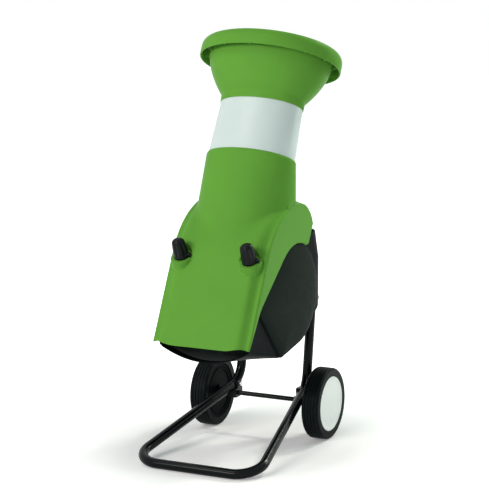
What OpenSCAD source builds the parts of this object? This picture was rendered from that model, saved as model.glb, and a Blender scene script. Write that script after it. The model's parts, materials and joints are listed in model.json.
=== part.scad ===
// Garden shredder: a leaning oval hopper over a black base, on a bent tube frame with two wheels.
// Millimetres, +Z up, the floor at z = 0, the front towards -Y.
// Everything is laid out from the floor under the axle and then moved to the origin by from_axle().

/* [Wheels and axle] */
// Outer diameter of a wheel
wheel_d = 240; // [220:1:260]
// Width of a tyre
tyre_w = 60; // [50:1:66]
// Distance between the middles of the wheels
track = 414; // [404:1:440]
// Diameter of the axle
axle_d = 16; // [12:1:18]
// Diameter of the hub caps
hub_cap_d = 184; // [150:1:190]
// Depth of the grooves in the tread
tread_depth = 2.5; // [1:0.5:4]

/* [Tube frame] */
// Outside diameter of the frame tube
tube_d = 32; // [28:1:34]
// Wall of the frame tube
tube_wall = 1.8; // [1.2:0.1:3]
// Distance from the axle forward to the front bar
foot_reach = 551; // [520:1:600]
// Half width of the front bar at its corners
foot_half = 223; // [205:1:240]
// Half spacing of the tubes where they turn up
knee_half = 124; // [120:1:128]
// Distance from the axle back to the turn
knee_back = 46; // [39:1:53]
// Distance of the upright tubes in from the outside of the base
upright_inset = 36; // [32:1:40]
// Distance from the axle back to the tube tops
upright_back = 95; // [89:1:101]
// Height of the tube tops
upright_top = 470; // [450:1:490]
// Radius of the tube bends, at the middle of the tube
bend_r = 80; // [65:1:90]

/* [Base] */
// Half width of the base over its side walls
base_half = 158; // [154:0.5:160]
// Wall of the base
base_wall = 3.5; // [2.5:0.5:4]
// How far the base reaches in front of the axle
base_front = 470; // [464:1:474]
// Distance from the axle back to the flat of the rear cover
base_rear = 135; // [133:1:145]
// Height of the lowest line of the base, at its sides
base_low = 320; // [310:1:325]
// Height of the side walls
base_top = 690; // [684:1:692]
// How far the trough sags below the sides at its mouth
trough_sag = 44; // [30:1:50]
// Bulge of the domed side panels
dome_bulge = 22; // [14:1:28]

/* [Hopper] */
// Lean of the feed axis from upright, in degrees
feed_lean = 25.6; // [25:0.1:26]
// Distance in front of the axle where the feed axis meets the floor
feed_foot = 574; // [570:1:578]
// Clearance from the side walls of the base out to the cheeks of the green shell
cheek_gap = 12; // [10:0.5:16]
// Half width of the neck at its top
neck_half = 155; // [153:0.5:157]
// Half width less half depth of every oval section
oval_diff = 44; // [40:0.5:48]
// Length along the feed axis to the top of the neck
neck_top = 1051; // [1040:1:1060]
// Length along the feed axis to the lower edge of the bowl's collar
collar_low = 1228; // [1215:1:1240]
// Length along the feed axis to the lower edge of the rim
rim_low = 1375; // [1363:1:1387]
// Half width of the rim at its lower edge
rim_half = 242; // [230:1:250]
// Wall of the green shell
shell_wall = 4; // [3:0.5:5]
// Wall of the feed tube
feed_wall = 3.5; // [2.5:0.5:5]

/* [Knobs] */
// Distance of the knobs in from the outside of the cheeks
knob_inset = 49.5; // [47:0.5:52]
// Forward lean of the knobs from upright, in degrees
knob_lean = 25.7; // [23:0.1:28]
// Diameter of a knob at its foot
knob_d = 48; // [42:1:52]
// Diameter of a knob at its head
knob_head_d = 37; // [32:1:40]
// Length of a knob
knob_len = 66; // [55:1:70]
// Diameter of the knob screws
screw_d = 8; // [6:1:10]
// Radius of the round seats under the knobs
seat_r = 31; // [29:0.5:33]

/* [Motor and cutter] */
// Outside diameter of the motor
motor_d = 150; // [130:1:160]
// Diameter of the motor shaft
shaft_d = 16; // [14:1:18]
// Diameter of the cutting disc
disc_d = 236; // [220:1:240]
// Radius of the feed opening above the disc
inlet_r = 62; // [55:1:64]
// Distance of the motor axis in front of the axle
motor_front = 225; // [222:1:228]
// Radial clearance of the running fits
run_gap = 0.06; // [0.02:0.01:0.1]
// Gap between pieces that are held close but do not move
seat_gap = 0.3; // [0.1:0.05:0.5]

/* [Hidden] */
$fn = 64;

wheel_r = wheel_d / 2;
axle_r = axle_d / 2;
tube_r = tube_d / 2;
wheel_x = track / 2;

// Pieces that keep their distance from the side walls of the base
cheek_half = base_half + cheek_gap;
knob_half = cheek_half - knob_inset;
upright_half = base_half - upright_inset;

// Colours as the photo shows them
green = [0.36, 0.63, 0.24];
milk = [0.84, 0.88, 0.87];
charcoal = [0.17, 0.19, 0.18];
black = [0.09, 0.10, 0.11];
steel = [0.72, 0.73, 0.75];
white = [0.90, 0.92, 0.92];

// Frame tube: front corner, knee and top of a leg, with the tube just clear above the axle
axle_saddle = 0.6;
leg_pitch = atan2(wheel_r - tube_r, foot_reach)
    + asin((tube_r + axle_r + axle_saddle) / norm([foot_reach, wheel_r - tube_r]));
foot_corner = [foot_half, -foot_reach, tube_r];
knee = [knee_half, knee_back, tube_r + (foot_reach + knee_back) * tan(leg_pitch)];
upright_end = [upright_half, upright_back, upright_top];
leg_dir = unit(knee - foot_corner);
upright_dir = unit(upright_end - knee);
foot_stub = 130;
leg_start = foot_corner + foot_stub * leg_dir;

// Axle hardware
bracket_w = 46;
bracket_x = foot_half + (knee_half - foot_half) * foot_reach / (foot_reach + knee_back);
bracket_in = bracket_x - bracket_w / 2;
bracket_out = bracket_x + bracket_w / 2;
ear_t = 6;
bolt_r = 4;
bolt_head_r = 7;
bolt_head_h = 5;
bolt_turn = 12;
hub_in = -tyre_w / 2 + 2;
hub_out = hub_in + 42;
hub_r = 20;
retainer_h = 6;
retainer_r = 14;
axle_end = wheel_x + hub_out + retainer_h;

// Wheel section
tyre_seat = hub_cap_d / 2;
rim_t = 8;
rim_half_w = tyre_w / 2 - 4;
cap_t = 3.5;
tread_grooves = 4;
groove_w = 4;

// Base outline seen from above and from the side
corner_skin = 1.3;
corner_back = base_rear - upright_back;
corner_clear = tube_r + seat_gap + corner_skin;
corner_sum = upright_inset + corner_back - corner_clear;
base_round = corner_sum
    + sqrt(corner_sum ^ 2 - upright_inset ^ 2 - corner_back ^ 2 + corner_clear ^ 2);
base_flat = base_half - base_round;
base_round_y = base_rear - base_round;
corner_bend = 600;
corner_taper = 36;
base_split = base_rear - 15;
low_y = -237;
low_front = 383;
rear_low = 452;
wall_foot = 406;
wall_rise = 1.85;
low_sag = 12;

// Domed panels: three circles whose common outline is the panel, as [y, z, radius]
dome_circles = [[-130, 510, 168], [-386, 506, 20], [-240, 334, 12]];
dome_mid = [-165, 500];

// Cutter and motor heights
plate_top = 530;
plate_t = 6;
plate_front = 130;
plate_rear = 155;
ring_top = 600;
ring_r = disc_d / 2 + 9;
ring_wall = 5;
disc_low = 556;
disc_t = 8;
cover_low = 609;
cover_t = 4;
cover_rear = -70;
cover_side = -300;
cover_front = -362;
cover_nose = 85;
can_low = 360;
can_wall = 4;
inlet_y = -287;

// Green shell: ridge of a cheek from the low corner up a straight and round an arc, as [y, z]
cheek_low = [-496, 395];
ridge_mid = [-120, 543];
ridge_r = 266;
rear_arc = [-120, 690, 119];
rear_turn = 18;
rear_tip = [-48, 656];
arch_tip = [-408, 512];
arch_gap = 3;
body_top = 800;
cheek_crown = 9;
foot_rise = 1.5;
foot_lift = 8;
foot_lift_at = 0.81;
foot_lift_half = 0.16;
panel_bow = 26;
panel_edge = 0.84;
panel_sharp = 28;
foot_bow = 0.7;
groove_depth = 3;
groove_at = 0.92;
groove_half = 0.04;
blend_w = 22;
neck_foot = body_top + 14;
neck_taper = 0.047;
neck_front_slope = 0.46;
neck_back_slope = 0.2;
neck_wide_y = -145;
neck_round = 11;
rear_bulge = 34;

// Feed tube, widening downwards from the collar to the neck and tucked in below
tube_top = collar_low + 25.7;
tube_low = 960;
tube_top_half = 141;
tube_taper = 0.0445;
tube_tuck = 0.05;

// Hinge at the back, as [y, z]
hinge = [30, 700];
pin_r = 5;
pin_ear_r = 13;
deck_top = 664;
deck_t = 4;
deck_gap = 2;
deck_front = -45;
ear_x = 94;
ear_w = 12;
leaf_w = 10;

// Knob seat, as [y, z], with the socket for the knob's screw below it along the same line
seat_at = [-385, 657];
seat_t = 4;
seat_wall = 2.5;
seat_deep = 60;
socket_drop = 58;
engage = 10;
socket_play = 2.2;

// Unit vector along v
function unit(v) = v / norm(v);

// Point at length t along the feed axis, u across and v forward of it
function feed(t, u, v) = [
    u,
    -feed_foot + t * sin(feed_lean) - v * cos(feed_lean),
    t * cos(feed_lean) + v * sin(feed_lean)
];

// Oval ring of half width a at length t, with points at the given angles
function oval(t, a, angles) = [for (p = angles) feed(t, a * cos(p), (a - oval_diff) * sin(p))];
full_turn = [for (i = [0:63]) i * 360 / 64];

// Angle at circle centre c, radius r, of the tangent from point p
function tangent_angle(p, c, r) =
    atan2(p[1] - c[1], p[0] - c[0]) - acos(r / norm(p - c));

function mix(p, q, f) = p * (1 - f) + q * f;
function smooth_min(a, b, k) = let (h = max(k - abs(a - b), 0) / k) min(a, b) - h * h * k / 4;
function on_circle(c, r, ang) = [c[0] + r * cos(ang), c[1] + r * sin(ang)];

// Places its children under the axle
module from_axle() {
    translate([0, axle_back, 0]) children();
}

// Repeats its children on the other side
module both_sides() {
    children();
    mirror([1, 0, 0]) children();
}

// Closed skin over rings of points, the last ring joined to the first
module ring_loft(rows) {
    n = len(rows[0]);
    m = len(rows);
    faces = [
        for (j = [0:m - 1], i = [0:n - 1])
            let (k = (j + 1) % m, h = (i + 1) % n)
            each [[j * n + i, k * n + i, k * n + h], [j * n + i, k * n + h, j * n + h]]
    ];
    polyhedron([for (row = rows) each row], faces, convexity = 10);
}

// Strip of triangles across a section whose points i and n - 1 - i face each other
function cap_strip(n, at) = [
    for (i = [0:n / 2 - 2])
        each [[at + i, at + i + 1, at + n - 2 - i], [at + i, at + n - 2 - i, at + n - 1 - i]]
];

// Closed skin over sections of points, with a flat cap on the first and the last section
module section_loft(rows) {
    n = len(rows[0]);
    m = len(rows);
    sides = [
        for (j = [0:m - 2], i = [0:n - 1])
            let (k = j + 1, h = (i + 1) % n)
            each [[j * n + i, k * n + i, k * n + h], [j * n + i, k * n + h, j * n + h]]
    ];
    first = cap_strip(n, 0);
    last = [for (f = cap_strip(n, (m - 1) * n)) reversed(f)];
    polyhedron([for (row = rows) each row], concat(sides, first, last), convexity = 10);
}

// Cylinder along X, centred on the given point
module rod_x(r, from, to, y, z) {
    translate([from, y, z]) rotate([0, 90, 0]) cylinder(r = r, h = to - from);
}

// Upright cylinder
module post(r, low, high, x, y) {
    translate([x, y, low]) cylinder(r = r, h = high - low);
}

// Frame with its X axis along u and its Y axis in the plane of u and v
function bend_side(u, v) = unit(v - (u * v) * u);
module along(origin, u, w) {
    n = cross(u, w);
    multmatrix([
        [u[0], w[0], n[0], origin[0]],
        [u[1], w[1], n[1], origin[1]],
        [u[2], w[2], n[2], origin[2]],
        [0, 0, 0, 1]
    ]) children();
}

module ring_section(r, wall) {
    difference() {
        circle(r);
        circle(r - wall);
    }
}

// Tube of radius r from a to c with one round bend at the corner; a wall equal to r makes it solid
module bent_tube(a, corner, c, r, wall) {
    u = unit(corner - a);
    v = unit(c - corner);
    turn = acos(u * v);
    back = bend_r * tan(turn / 2);
    run = norm(corner - a) - back;
    along(a, u, bend_side(u, v)) {
        rotate([90, 0, 90]) linear_extrude(run) tube_section(r, wall);
        translate([run, bend_r, 0]) {
            rotate([0, 0, -90]) rotate_extrude(angle = turn) translate([bend_r, 0]) tube_section(r, wall);
            rotate([0, 0, turn]) translate([0, -bend_r, 0]) rotate([90, 0, 90])
                linear_extrude(norm(c - corner) - back) tube_section(r, wall);
        }
    }
}

module tube_section(r, wall) {
    if (wall < r) ring_section(r, wall);
    else circle(r);
}

// Point on the middle of the knee bend, turned by the given angle from its start
function knee_point(ang) =
    let (turn = acos(leg_dir * upright_dir), w = bend_side(leg_dir, upright_dir))
    knee - bend_r * tan(turn / 2) * leg_dir + bend_r * (sin(ang) * leg_dir + (1 - cos(ang)) * w);

// Running gear

module front_foot() {
    color(black) from_axle() both_sides()
        bent_tube([0, -foot_reach, tube_r], foot_corner, leg_start, tube_r, tube_wall);
}

module leg() {
    color(black) from_axle() bent_tube(leg_start, knee, upright_end, tube_r, tube_wall);
}

module left_leg() {
    mirror([1, 0, 0]) leg();
}

module right_leg() {
    leg();
}

module axle() {
    color(black) from_axle() rod_x(axle_r, -axle_end, axle_end, 0, wheel_r);
}

module axle_bracket() {
    bolt = knee_point(bolt_turn);
    low = wheel_r - axle_r - 6;
    difference() {
        union() {
            translate([bracket_in, -20, low]) cube([bracket_w, 50, axle_r + tube_r + 6]);
            translate([bracket_in, bolt[1] - 14, low]) cube([ear_t + tube_r, 28, bolt[2] + 12 - low]);
        }
        bent_tube(leg_start, knee, upright_end, tube_r + seat_gap, tube_r + 1);
        rod_x(axle_r + seat_gap / 2, bracket_in - 1, bracket_out + 1, 0, wheel_r);
        rod_x(bolt_r + seat_gap, bracket_in - 1, bracket_out + 1, bolt[1], bolt[2]);
    }
}

module axle_brackets() {
    color(black) from_axle() both_sides() axle_bracket();
}

module axle_spacers() {
    color(black) from_axle() both_sides() difference() {
        rod_x(axle_r + 4, bracket_out, wheel_x + hub_in - seat_gap, 0, wheel_r);
        rod_x(axle_r + seat_gap / 2, bracket_out - 1, wheel_x + hub_in + 1, 0, wheel_r);
    }
}

module axle_retainers() {
    color(steel) from_axle() both_sides() difference() {
        rod_x(retainer_r, wheel_x + hub_out + seat_gap, axle_end, 0, wheel_r);
        rod_x(axle_r + seat_gap / 2, wheel_x + hub_out - 1, axle_end + 1, 0, wheel_r);
    }
}

// Bolt through the ear and the inner wall of each tube, its head towards the middle of the frame
module frame_bolts() {
    bolt = knee_point(bolt_turn);
    color(steel) from_axle() both_sides() {
        rod_x(bolt_head_r, bracket_in - bolt_head_h, bracket_in, bolt[1], bolt[2]);
        rod_x(bolt_r, bracket_in, bolt[0] - tube_r - 1, bolt[1], bolt[2]);
    }
}

// Clamp screws through the rear corners of the base onto the uprights
clamp_drop = 15;
clamp_z = upright_top - clamp_drop;
clamp_tip_gap = 0.6;
clamp_at = mix(knee, upright_end, (clamp_z - knee[2]) / (upright_end[2] - knee[2]));
clamp_out = [clamp_at[0] - base_flat, clamp_at[1] - base_round_y, 0];
clamp_reach = base_round - norm(clamp_out);

// Frame at the middle of an upright with its Z axis out through the corner of the base
module along_clamp() {
    along(clamp_at, unit(clamp_out), [0, 0, 1]) rotate([0, 90, 0]) children();
}

module upright_bolts() {
    tip = tube_r + clamp_tip_gap;
    head = clamp_reach + seat_gap;
    color(steel) from_axle() both_sides() along_clamp() {
        translate([0, 0, tip]) cylinder(r = bolt_r, h = head - tip);
        translate([0, 0, head]) cylinder(r = bolt_head_r, h = bolt_head_h);
    }
}

// Wheels: sections are drawn as [radius, distance outwards from the wheel's middle]

module spun_x(side) {
    from_axle() translate([side * wheel_x, 0, wheel_r]) rotate([0, 90 * side, 0]) rotate_extrude() children();
}

module tyre(side) {
    w = tyre_w / 2;
    shoulder = 9;
    pitch = 2 * (w - shoulder) / tread_grooves;
    color(black) spun_x(side) difference() {
        polygon(concat(
            [[tyre_seat + seat_gap, -w], [tyre_seat + seat_gap, w]],
            [for (p = [90:-15:0]) [wheel_r - shoulder + shoulder * cos(p), w - shoulder + shoulder * sin(p)]],
            [for (p = [0:-15:-90]) [wheel_r - shoulder + shoulder * cos(p), shoulder - w + shoulder * sin(p)]]
        ));
        for (k = [0:tread_grooves - 1])
            translate([wheel_r - tread_depth, shoulder - w + (k + 0.5) * pitch - groove_w / 2])
                square([tread_depth + 1, groove_w]);
    }
}

module wheel_core(side) {
    bore = axle_r + run_gap;
    web_t = 6;
    web_in = 3;
    ring_at = 0.82 * tyre_seat;
    ring_w = 4;
    color(black) spun_x(side) {
        translate([bore, hub_in]) square([hub_r - bore, hub_out - hub_in]);
        translate([hub_r, web_in - rim_half_w]) square([tyre_seat - rim_t - hub_r, web_t]);
        translate([tyre_seat - rim_t, -rim_half_w]) square([rim_t, 2 * rim_half_w]);
        translate([ring_at, -rim_half_w]) square([ring_w, web_in]);
    }
}

module hub_cap(side) {
    r = tyre_seat;
    color(white) spun_x(side) polygon([
        [0, rim_half_w], [r, rim_half_w], [r, rim_half_w + cap_t - 1.5], [r - 3, rim_half_w + cap_t],
        [r - 8, rim_half_w + cap_t], [r - 11, rim_half_w + cap_t - 1], [0, rim_half_w + cap_t - 1]
    ]);
}

module left_tyre() {
    tyre(-1);
}

module left_wheel_core() {
    wheel_core(-1);
}

module left_hub_cap() {
    hub_cap(-1);
}

module right_tyre() {
    tyre(1);
}

module right_wheel_core() {
    wheel_core(1);
}

module right_hub_cap() {
    hub_cap(1);
}

// Base

// Radius of the rear corners of the base, which grows above corner_bend
function corner_r(z) = base_round + corner_taper * max(z - corner_bend, 0) / (base_top - corner_bend);

// Half width of the base at depth y and height z, inset by e
function base_w(y, z, e) =
    let (r = corner_r(z), bend_y = base_rear - r)
    y <= bend_y ? base_half - e : base_half - r + sqrt(max((r - e) ^ 2 - (y - bend_y) ^ 2, 0));
function base_side_low(y) =
    y < low_y ? mix(low_front, base_low, (y + base_front) / (low_y + base_front))
    : mix(base_low, rear_low, (y - low_y) / (base_rear - low_y));
function base_sag(y) =
    y < low_y ? mix(trough_sag, low_sag, (y + base_front) / (low_y + base_front)) : low_sag;
function base_side_top(y) = min(wall_foot + (y + base_front) * wall_rise, base_top);

// Sagging floor at depth y, raised by e, between -w and w
function floor_line(y, e, w) =
    [for (s = [-1:0.125:1]) [s * w, y, base_side_low(y) + e - base_sag(y) * (1 - s * s)]];

// Open channel section at depth y: down the left wall, under the floor and up the right wall
function channel(y, e) =
    let (
        top = base_side_top(y),
        bend = min(corner_bend, mix(base_side_low(y) + e, top, 0.7)),
        w = base_w(y, bend, e),
        top_w = base_w(y, top, e)
    )
    concat([[-top_w, y, top], [-w, y, bend]], floor_line(y, e, w), [[w, y, bend], [top_w, y, top]]);
function reversed(list) = [for (i = [len(list) - 1:-1:0]) list[i]];
top_reach = (base_top - wall_foot) / wall_rise - base_front;

module base_housing() {
    stations = concat(
        [for (k = [0:4]) mix(-base_front, top_reach, k / 4)],
        [low_y, -120],
        [for (k = [0:8]) mix(base_rear - corner_r(base_top), base_split, k / 8)]
    );
    color(black) from_axle() difference() {
        section_loft([for (y = stations) concat(channel(y, 0), reversed(channel(y, base_wall)))]);
        both_sides() along(knee, upright_dir, bend_side(upright_dir, [1, 0, 0])) rotate([0, 90, 0])
            cylinder(r = tube_r + seat_gap, h = norm(upright_end - knee) + 1);
        both_sides() along_clamp() cylinder(r = bolt_r + seat_gap, h = clamp_reach + bolt_head_h);
    }
}

// Outline point of a domed panel in the given direction: the furthest of its circles
function dome_edge(ang) =
    let (
        reach = [for (c = dome_circles) c[0] * cos(ang) + c[1] * sin(ang) + c[2]],
        k = search(max(reach), reach)[0],
        c = dome_circles[k]
    )
    on_circle([c[0], c[1]], c[2], ang);
dome_steps = [0, 15, 30, 45, 60, 75];
function dome_row(inset, rise) = [
    for (p = [0:7.5:352.5])
        let (q = mix(dome_edge(p), dome_mid, inset))
        [base_half + rise, q[0], q[1]]
];
function dome_rows(drop) = concat(
    [dome_row(0.012 * drop, 0)],
    [for (p = dome_steps) dome_row(1 - cos(p) * (1 - 0.012 * drop), 4 - drop + (dome_bulge - 4) * sin(p))]
);

module side_panel() {
    wall = 3;
    color(charcoal) from_axle() difference() {
        section_loft(dome_rows(0));
        translate([-1, 0, 0]) section_loft(dome_rows(wall));
    }
}

module right_side_panel() {
    side_panel();
}

module left_side_panel() {
    mirror([1, 0, 0]) side_panel();
}

module rear_deck() {
    e = base_wall + deck_gap;
    r = corner_r(deck_top);
    flat = base_half - r;
    bend_y = base_rear - r;
    color(black) from_axle() translate([0, 0, deck_top - deck_t]) linear_extrude(deck_t) difference() {
        union() {
            for (s = [-1, 1]) translate([s * flat, bend_y]) circle(r - e);
            translate([-flat, bend_y]) square([2 * flat, r - e]);
            translate([-base_half + e, deck_front]) square([2 * (base_half - e), bend_y - deck_front]);
        }
        translate([-base_half, base_split]) square([2 * base_half, r]);
        translate([-base_half, deck_front - r]) square([2 * base_half, r]);
    }
}

cover_foot = base_side_low(base_split);
vent_rows = 6;
vent_pitch = 11;
vent_w = 70;
cover_steps = 12;

// Ring round the back of the base at height z, inset by e, from depth y on one side to the other
function cover_ring(z, e, y) =
    let (
        r = corner_r(z),
        start = asin((y - base_rear + r) / (r - e)),
        half = [for (k = [0:cover_steps]) on_circle([base_half - r, base_rear - r], r - e,
            mix(start, 90, k / cover_steps))]
    )
    concat([for (p = half) [p[0], p[1], z]], [for (p = reversed(half)) [-p[0], p[1], z]]);

module rear_cover() {
    inner_foot = cover_foot + base_wall;
    inner_top = deck_top - base_wall;
    color(black) from_axle() difference() {
        section_loft([for (z = [cover_foot, corner_bend, deck_top]) cover_ring(z, 0, base_split)]);
        section_loft([for (z = [inner_foot, corner_bend, inner_top])
            cover_ring(z, base_wall, base_split - 1)]);
        for (k = [0:vent_rows - 1])
            translate([-vent_w / 2, base_rear - 10, cover_foot + 14 + k * vent_pitch]) cube([vent_w, 20, 5]);
    }
}

switch_w = 56;
switch_h = 84;
switch_out = 24;
switch_low = 560;
rocker_z = switch_low + 54;
rocker_h = 34;
rocker_w = 26;
rocker_in = 9;
rocker_back = 9;
button_z = switch_low + 18;
button_r = 6;
button_out = 4;
button_travel = 3;
button_deep = 14;

module switch_housing() {
    y = base_rear;
    color(black) from_axle() difference() {
        translate([-switch_w / 2, y, switch_low]) cube([switch_w, switch_out, switch_h]);
        translate([-rocker_w / 2 - 1, y + switch_out - rocker_in - rocker_back, rocker_z - rocker_h / 2 - 1])
            cube([rocker_w + 2, rocker_in + rocker_back + 1, rocker_h + 2]);
        translate([0, y + switch_out - button_deep, button_z]) rotate([-90, 0, 0])
            cylinder(r = button_r + seat_gap, h = button_deep + 1);
        rod_x(2, -rocker_w / 2 - 6, rocker_w / 2 + 6, y + switch_out - rocker_in, rocker_z);
    }
}

// Rocker with its two pivot stubs
module switch_rocker() {
    y = base_rear + switch_out - rocker_in;
    color([0.1, 0.45, 0.15]) from_axle() {
        rotate_rocker(y) translate([-rocker_w / 2, -4, -rocker_h / 2 + 1])
            cube([rocker_w, rocker_in + 6, rocker_h - 2]);
        rod_x(2 - run_gap, -rocker_w / 2 - 5, rocker_w / 2 + 5, y, rocker_z);
    }
}

module rotate_rocker(y) {
    translate([0, y, rocker_z]) intersection() {
        children();
        rotate([0, 90, 0]) cylinder(r = rocker_h / 2 - 0.5, h = rocker_w + 2, center = true);
    }
}

module reset_button() {
    y = base_rear + switch_out;
    foot = button_deep - button_travel - 1;
    color([0.7, 0.1, 0.1]) from_axle() translate([0, y - foot, button_z]) rotate([-90, 0, 0])
        cylinder(r = button_r, h = foot + button_out);
}

// Recessed inlet for the mains connector, with its three blades
module mains_inlet() {
    w = 44;
    h = 36;
    out = 26;
    low = switch_low - h;
    color(black) from_axle() {
        difference() {
            translate([-w / 2, base_rear, low]) cube([w, out, h]);
            translate([-w / 2 + 4, base_rear + 6, low + 4]) cube([w - 8, out, h - 8]);
        }
        for (x = [-8, 0, 8]) translate([x - 1, base_rear + 6, low + h / 2 - 3]) cube([2, 14, 6]);
    }
}

module hinge_ear(x, w, r, foot) {
    translate([x - w / 2, hinge[0], hinge[1]]) rotate([0, 90, 0]) difference() {
        union() {
            cylinder(r = r, h = w);
            translate([0, -r, 0]) cube([hinge[1] - foot, 2 * r, w]);
        }
        translate([0, 0, -1]) cylinder(r = pin_r + seat_gap / 3, h = w + 2);
    }
}

module hinge_bracket() {
    color(black) from_axle() {
        both_sides() hinge_ear(ear_x, ear_w, pin_ear_r + 1, deck_top);
    }
}

module hinge_pin() {
    reach = ear_x + ear_w / 2 + leaf_w + 6;
    color(steel) from_axle() rod_x(pin_r, -reach, reach, hinge[0], hinge[1]);
}

// Frame at the middle of a knob's seat with its Z axis up along the knob
module along_screw(side) {
    from_axle() translate([side * knob_half, seat_at[0], seat_at[1]]) rotate([knob_lean, 0, 0]) children();
}

// Sockets on the side walls; their bores are wide because the screws swing out with the hopper
module knob_sockets() {
    boss_r = 12;
    boss_h = 40;
    rib_w = base_half - base_wall - knob_half - 8;
    color(black) for (side = [-1, 1]) difference() {
        union() {
            along_screw(side) translate([0, 0, -socket_drop - boss_h]) cylinder(r = boss_r, h = boss_h);
            along_screw(side) translate([side > 0 ? 8 : -rib_w - 8, -8, -socket_drop - boss_h])
                cube([rib_w, 16, boss_h - 6]);
        }
        along_screw(side) translate([0, 0, -socket_drop - boss_h + 10])
            cylinder(r = screw_d / 2 + socket_play, h = boss_h);
    }
}

// Motor

module motor_plate() {
    w = base_half - base_wall;
    bearing_r = shaft_d / 2 + 9.5;
    color(steel) from_axle() difference() {
        translate([-w, -motor_front - plate_front, plate_top - plate_t])
            cube([2 * w, plate_front + plate_rear, plate_t]);
        post(bearing_r, plate_top - plate_t - 1, plate_top + 1, 0, -motor_front);
        for (p = bolt_spots) post(bolt_r + seat_gap, plate_top - plate_t - 1, plate_top + 1, p[0], p[1]);
    }
}

chute_t = 3;
chute_pitch = 69;
chute_gap = 1;

// Slanted plate from the front of the motor plate down to the floor of the base, which turns the chips
// out of the mouth
module chute_plate() {
    w = base_half - base_wall;
    rear = -motor_front - plate_front - seat_gap;
    top = plate_top - seat_gap;
    foot = base_low - trough_sag;
    run = (top - foot) / tan(chute_pitch);
    half = w - seat_gap;
    color(black) from_axle() difference() {
        translate([-half, 0, 0]) rotate([90, 0, 90]) linear_extrude(2 * half) polygon([
            [rear - chute_t, top], [rear, top], [rear - run, foot], [rear - run - chute_t, foot]
        ]);
        section_loft([for (k = [0:4])
            let (line = floor_line(mix(-base_front, top_reach, k / 4), base_wall + chute_gap, w))
            concat(line, [for (q = reversed(line)) [q[0], q[1], foot - chute_t]])]);
    }
}

bolt_ring = motor_d / 2 - 9;
bolt_spots = [for (p = [45:90:315]) [bolt_ring * cos(p), -motor_front + bolt_ring * sin(p)]];

module motor_can() {
    color(charcoal) from_axle() difference() {
        post(motor_d / 2, can_low, plate_top - plate_t, 0, -motor_front);
        post(motor_d / 2 - can_wall, can_low - 1, plate_top - plate_t - 8, 0, -motor_front);
        post(shaft_d / 2 + 9.5, can_low, plate_top, 0, -motor_front);
        for (p = bolt_spots) post(bolt_r - 0.5, plate_top - plate_t - 9, plate_top, p[0], p[1]);
    }
}

module motor_end_cap() {
    color(charcoal) from_axle() difference() {
        post(motor_d / 2, can_low - 14, can_low, 0, -motor_front);
        post(shaft_d / 2 + 9.5, can_low - 11, can_low + 1, 0, -motor_front);
    }
}

stator_low = 400;
stator_high = 490;
rotor_r = 38;

module stator_core() {
    color([0.55, 0.35, 0.2]) from_axle() difference() {
        post(motor_d / 2 - can_wall - seat_gap, stator_low, stator_high, 0, -motor_front);
        post(rotor_r + 0.6, stator_low - 1, stator_high + 1, 0, -motor_front);
    }
}

module bearing(low) {
    difference() {
        post(shaft_d / 2 + 9.5 - seat_gap / 3, low, low + 11, 0, -motor_front);
        post(shaft_d / 2 + run_gap, low - 1, low + 12, 0, -motor_front);
    }
}

module motor_bearings() {
    color(steel) from_axle() {
        bearing(plate_top - 11);
        bearing(can_low - 11);
    }
}

module motor_bolts() {
    color(steel) from_axle() for (p = bolt_spots) {
        post(bolt_r - 0.5 - seat_gap / 3, plate_top - plate_t - 8, plate_top, p[0], p[1]);
        post(bolt_head_r, plate_top, plate_top + 4, p[0], p[1]);
    }
}

module run_capacitor() {
    at = [ring_r - 27, -motor_front + 115];
    can_r = 22;
    can_h = 84;
    top = plate_top - plate_t;
    color(milk) from_axle() post(can_r, top - can_h, top, at[0], at[1]);
}

module chamber_ring() {
    window = 96;
    color(steel) from_axle() difference() {
        post(ring_r + ring_wall, plate_top, ring_top, 0, -motor_front);
        post(ring_r, plate_top - 1, ring_top + 1, 0, -motor_front);
        translate([-window, -motor_front - ring_r - 20, plate_top + 8]) cube([2 * window, ring_r, 54]);
    }
}

plunger_r = 4;
plunger_at = [130, -110];

safety_drop = 10;
safety_h = 28;
safety_w = 28;
safety_in = 9;
plunger_in = 18;

module safety_switch() {
    top = cover_low - safety_drop;
    low = top - safety_h;
    reach = base_half - base_wall - plunger_at[0] + safety_in;
    color(black) from_axle() difference() {
        translate([plunger_at[0] - safety_in, plunger_at[1] - safety_w / 2, low])
            cube([reach, safety_w, safety_h]);
        post(plunger_r + run_gap, top - plunger_in - 2, top + 1, plunger_at[0], plunger_at[1]);
    }
}

module safety_plunger() {
    foot = cover_low - safety_drop - plunger_in;
    color(white) from_axle() post(plunger_r, foot, cover_low - seat_gap, plunger_at[0], plunger_at[1]);
}

// Rotor

module rotor_shaft() {
    color(steel) from_axle() post(shaft_d / 2, can_low - 10.5, disc_low + disc_t, 0, -motor_front);
}

module rotor_core() {
    color(steel) from_axle() difference() {
        post(rotor_r, stator_low, stator_high, 0, -motor_front);
        post(shaft_d / 2 + seat_gap / 3, stator_low - 1, stator_high + 1, 0, -motor_front);
    }
}

fan_gap = 6;
fan_lift = 8;
fan_hub_t = 6;
fan_hub_h = 22;
fan_plate_t = 3;
fan_vanes = 8;
vane_t = 2;
vane_h = 20;

module cooling_fan() {
    low = can_low + fan_lift;
    fan_r = motor_d / 2 - can_wall - fan_gap;
    vane_in = shaft_d / 2 + fan_hub_t - vane_t;
    color(black) from_axle() difference() {
        union() {
            post(shaft_d / 2 + fan_hub_t, low, low + fan_hub_h, 0, -motor_front);
            post(fan_r, low, low + fan_plate_t, 0, -motor_front);
            for (k = [0:fan_vanes - 1]) translate([0, -motor_front, low]) rotate([0, 0, k * 360 / fan_vanes])
                translate([vane_in, -vane_t / 2, 0]) cube([fan_r - vane_in - vane_t, vane_t, vane_h]);
        }
        post(shaft_d / 2 + seat_gap / 3, low - 1, low + fan_hub_h + 1, 0, -motor_front);
    }
}

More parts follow.
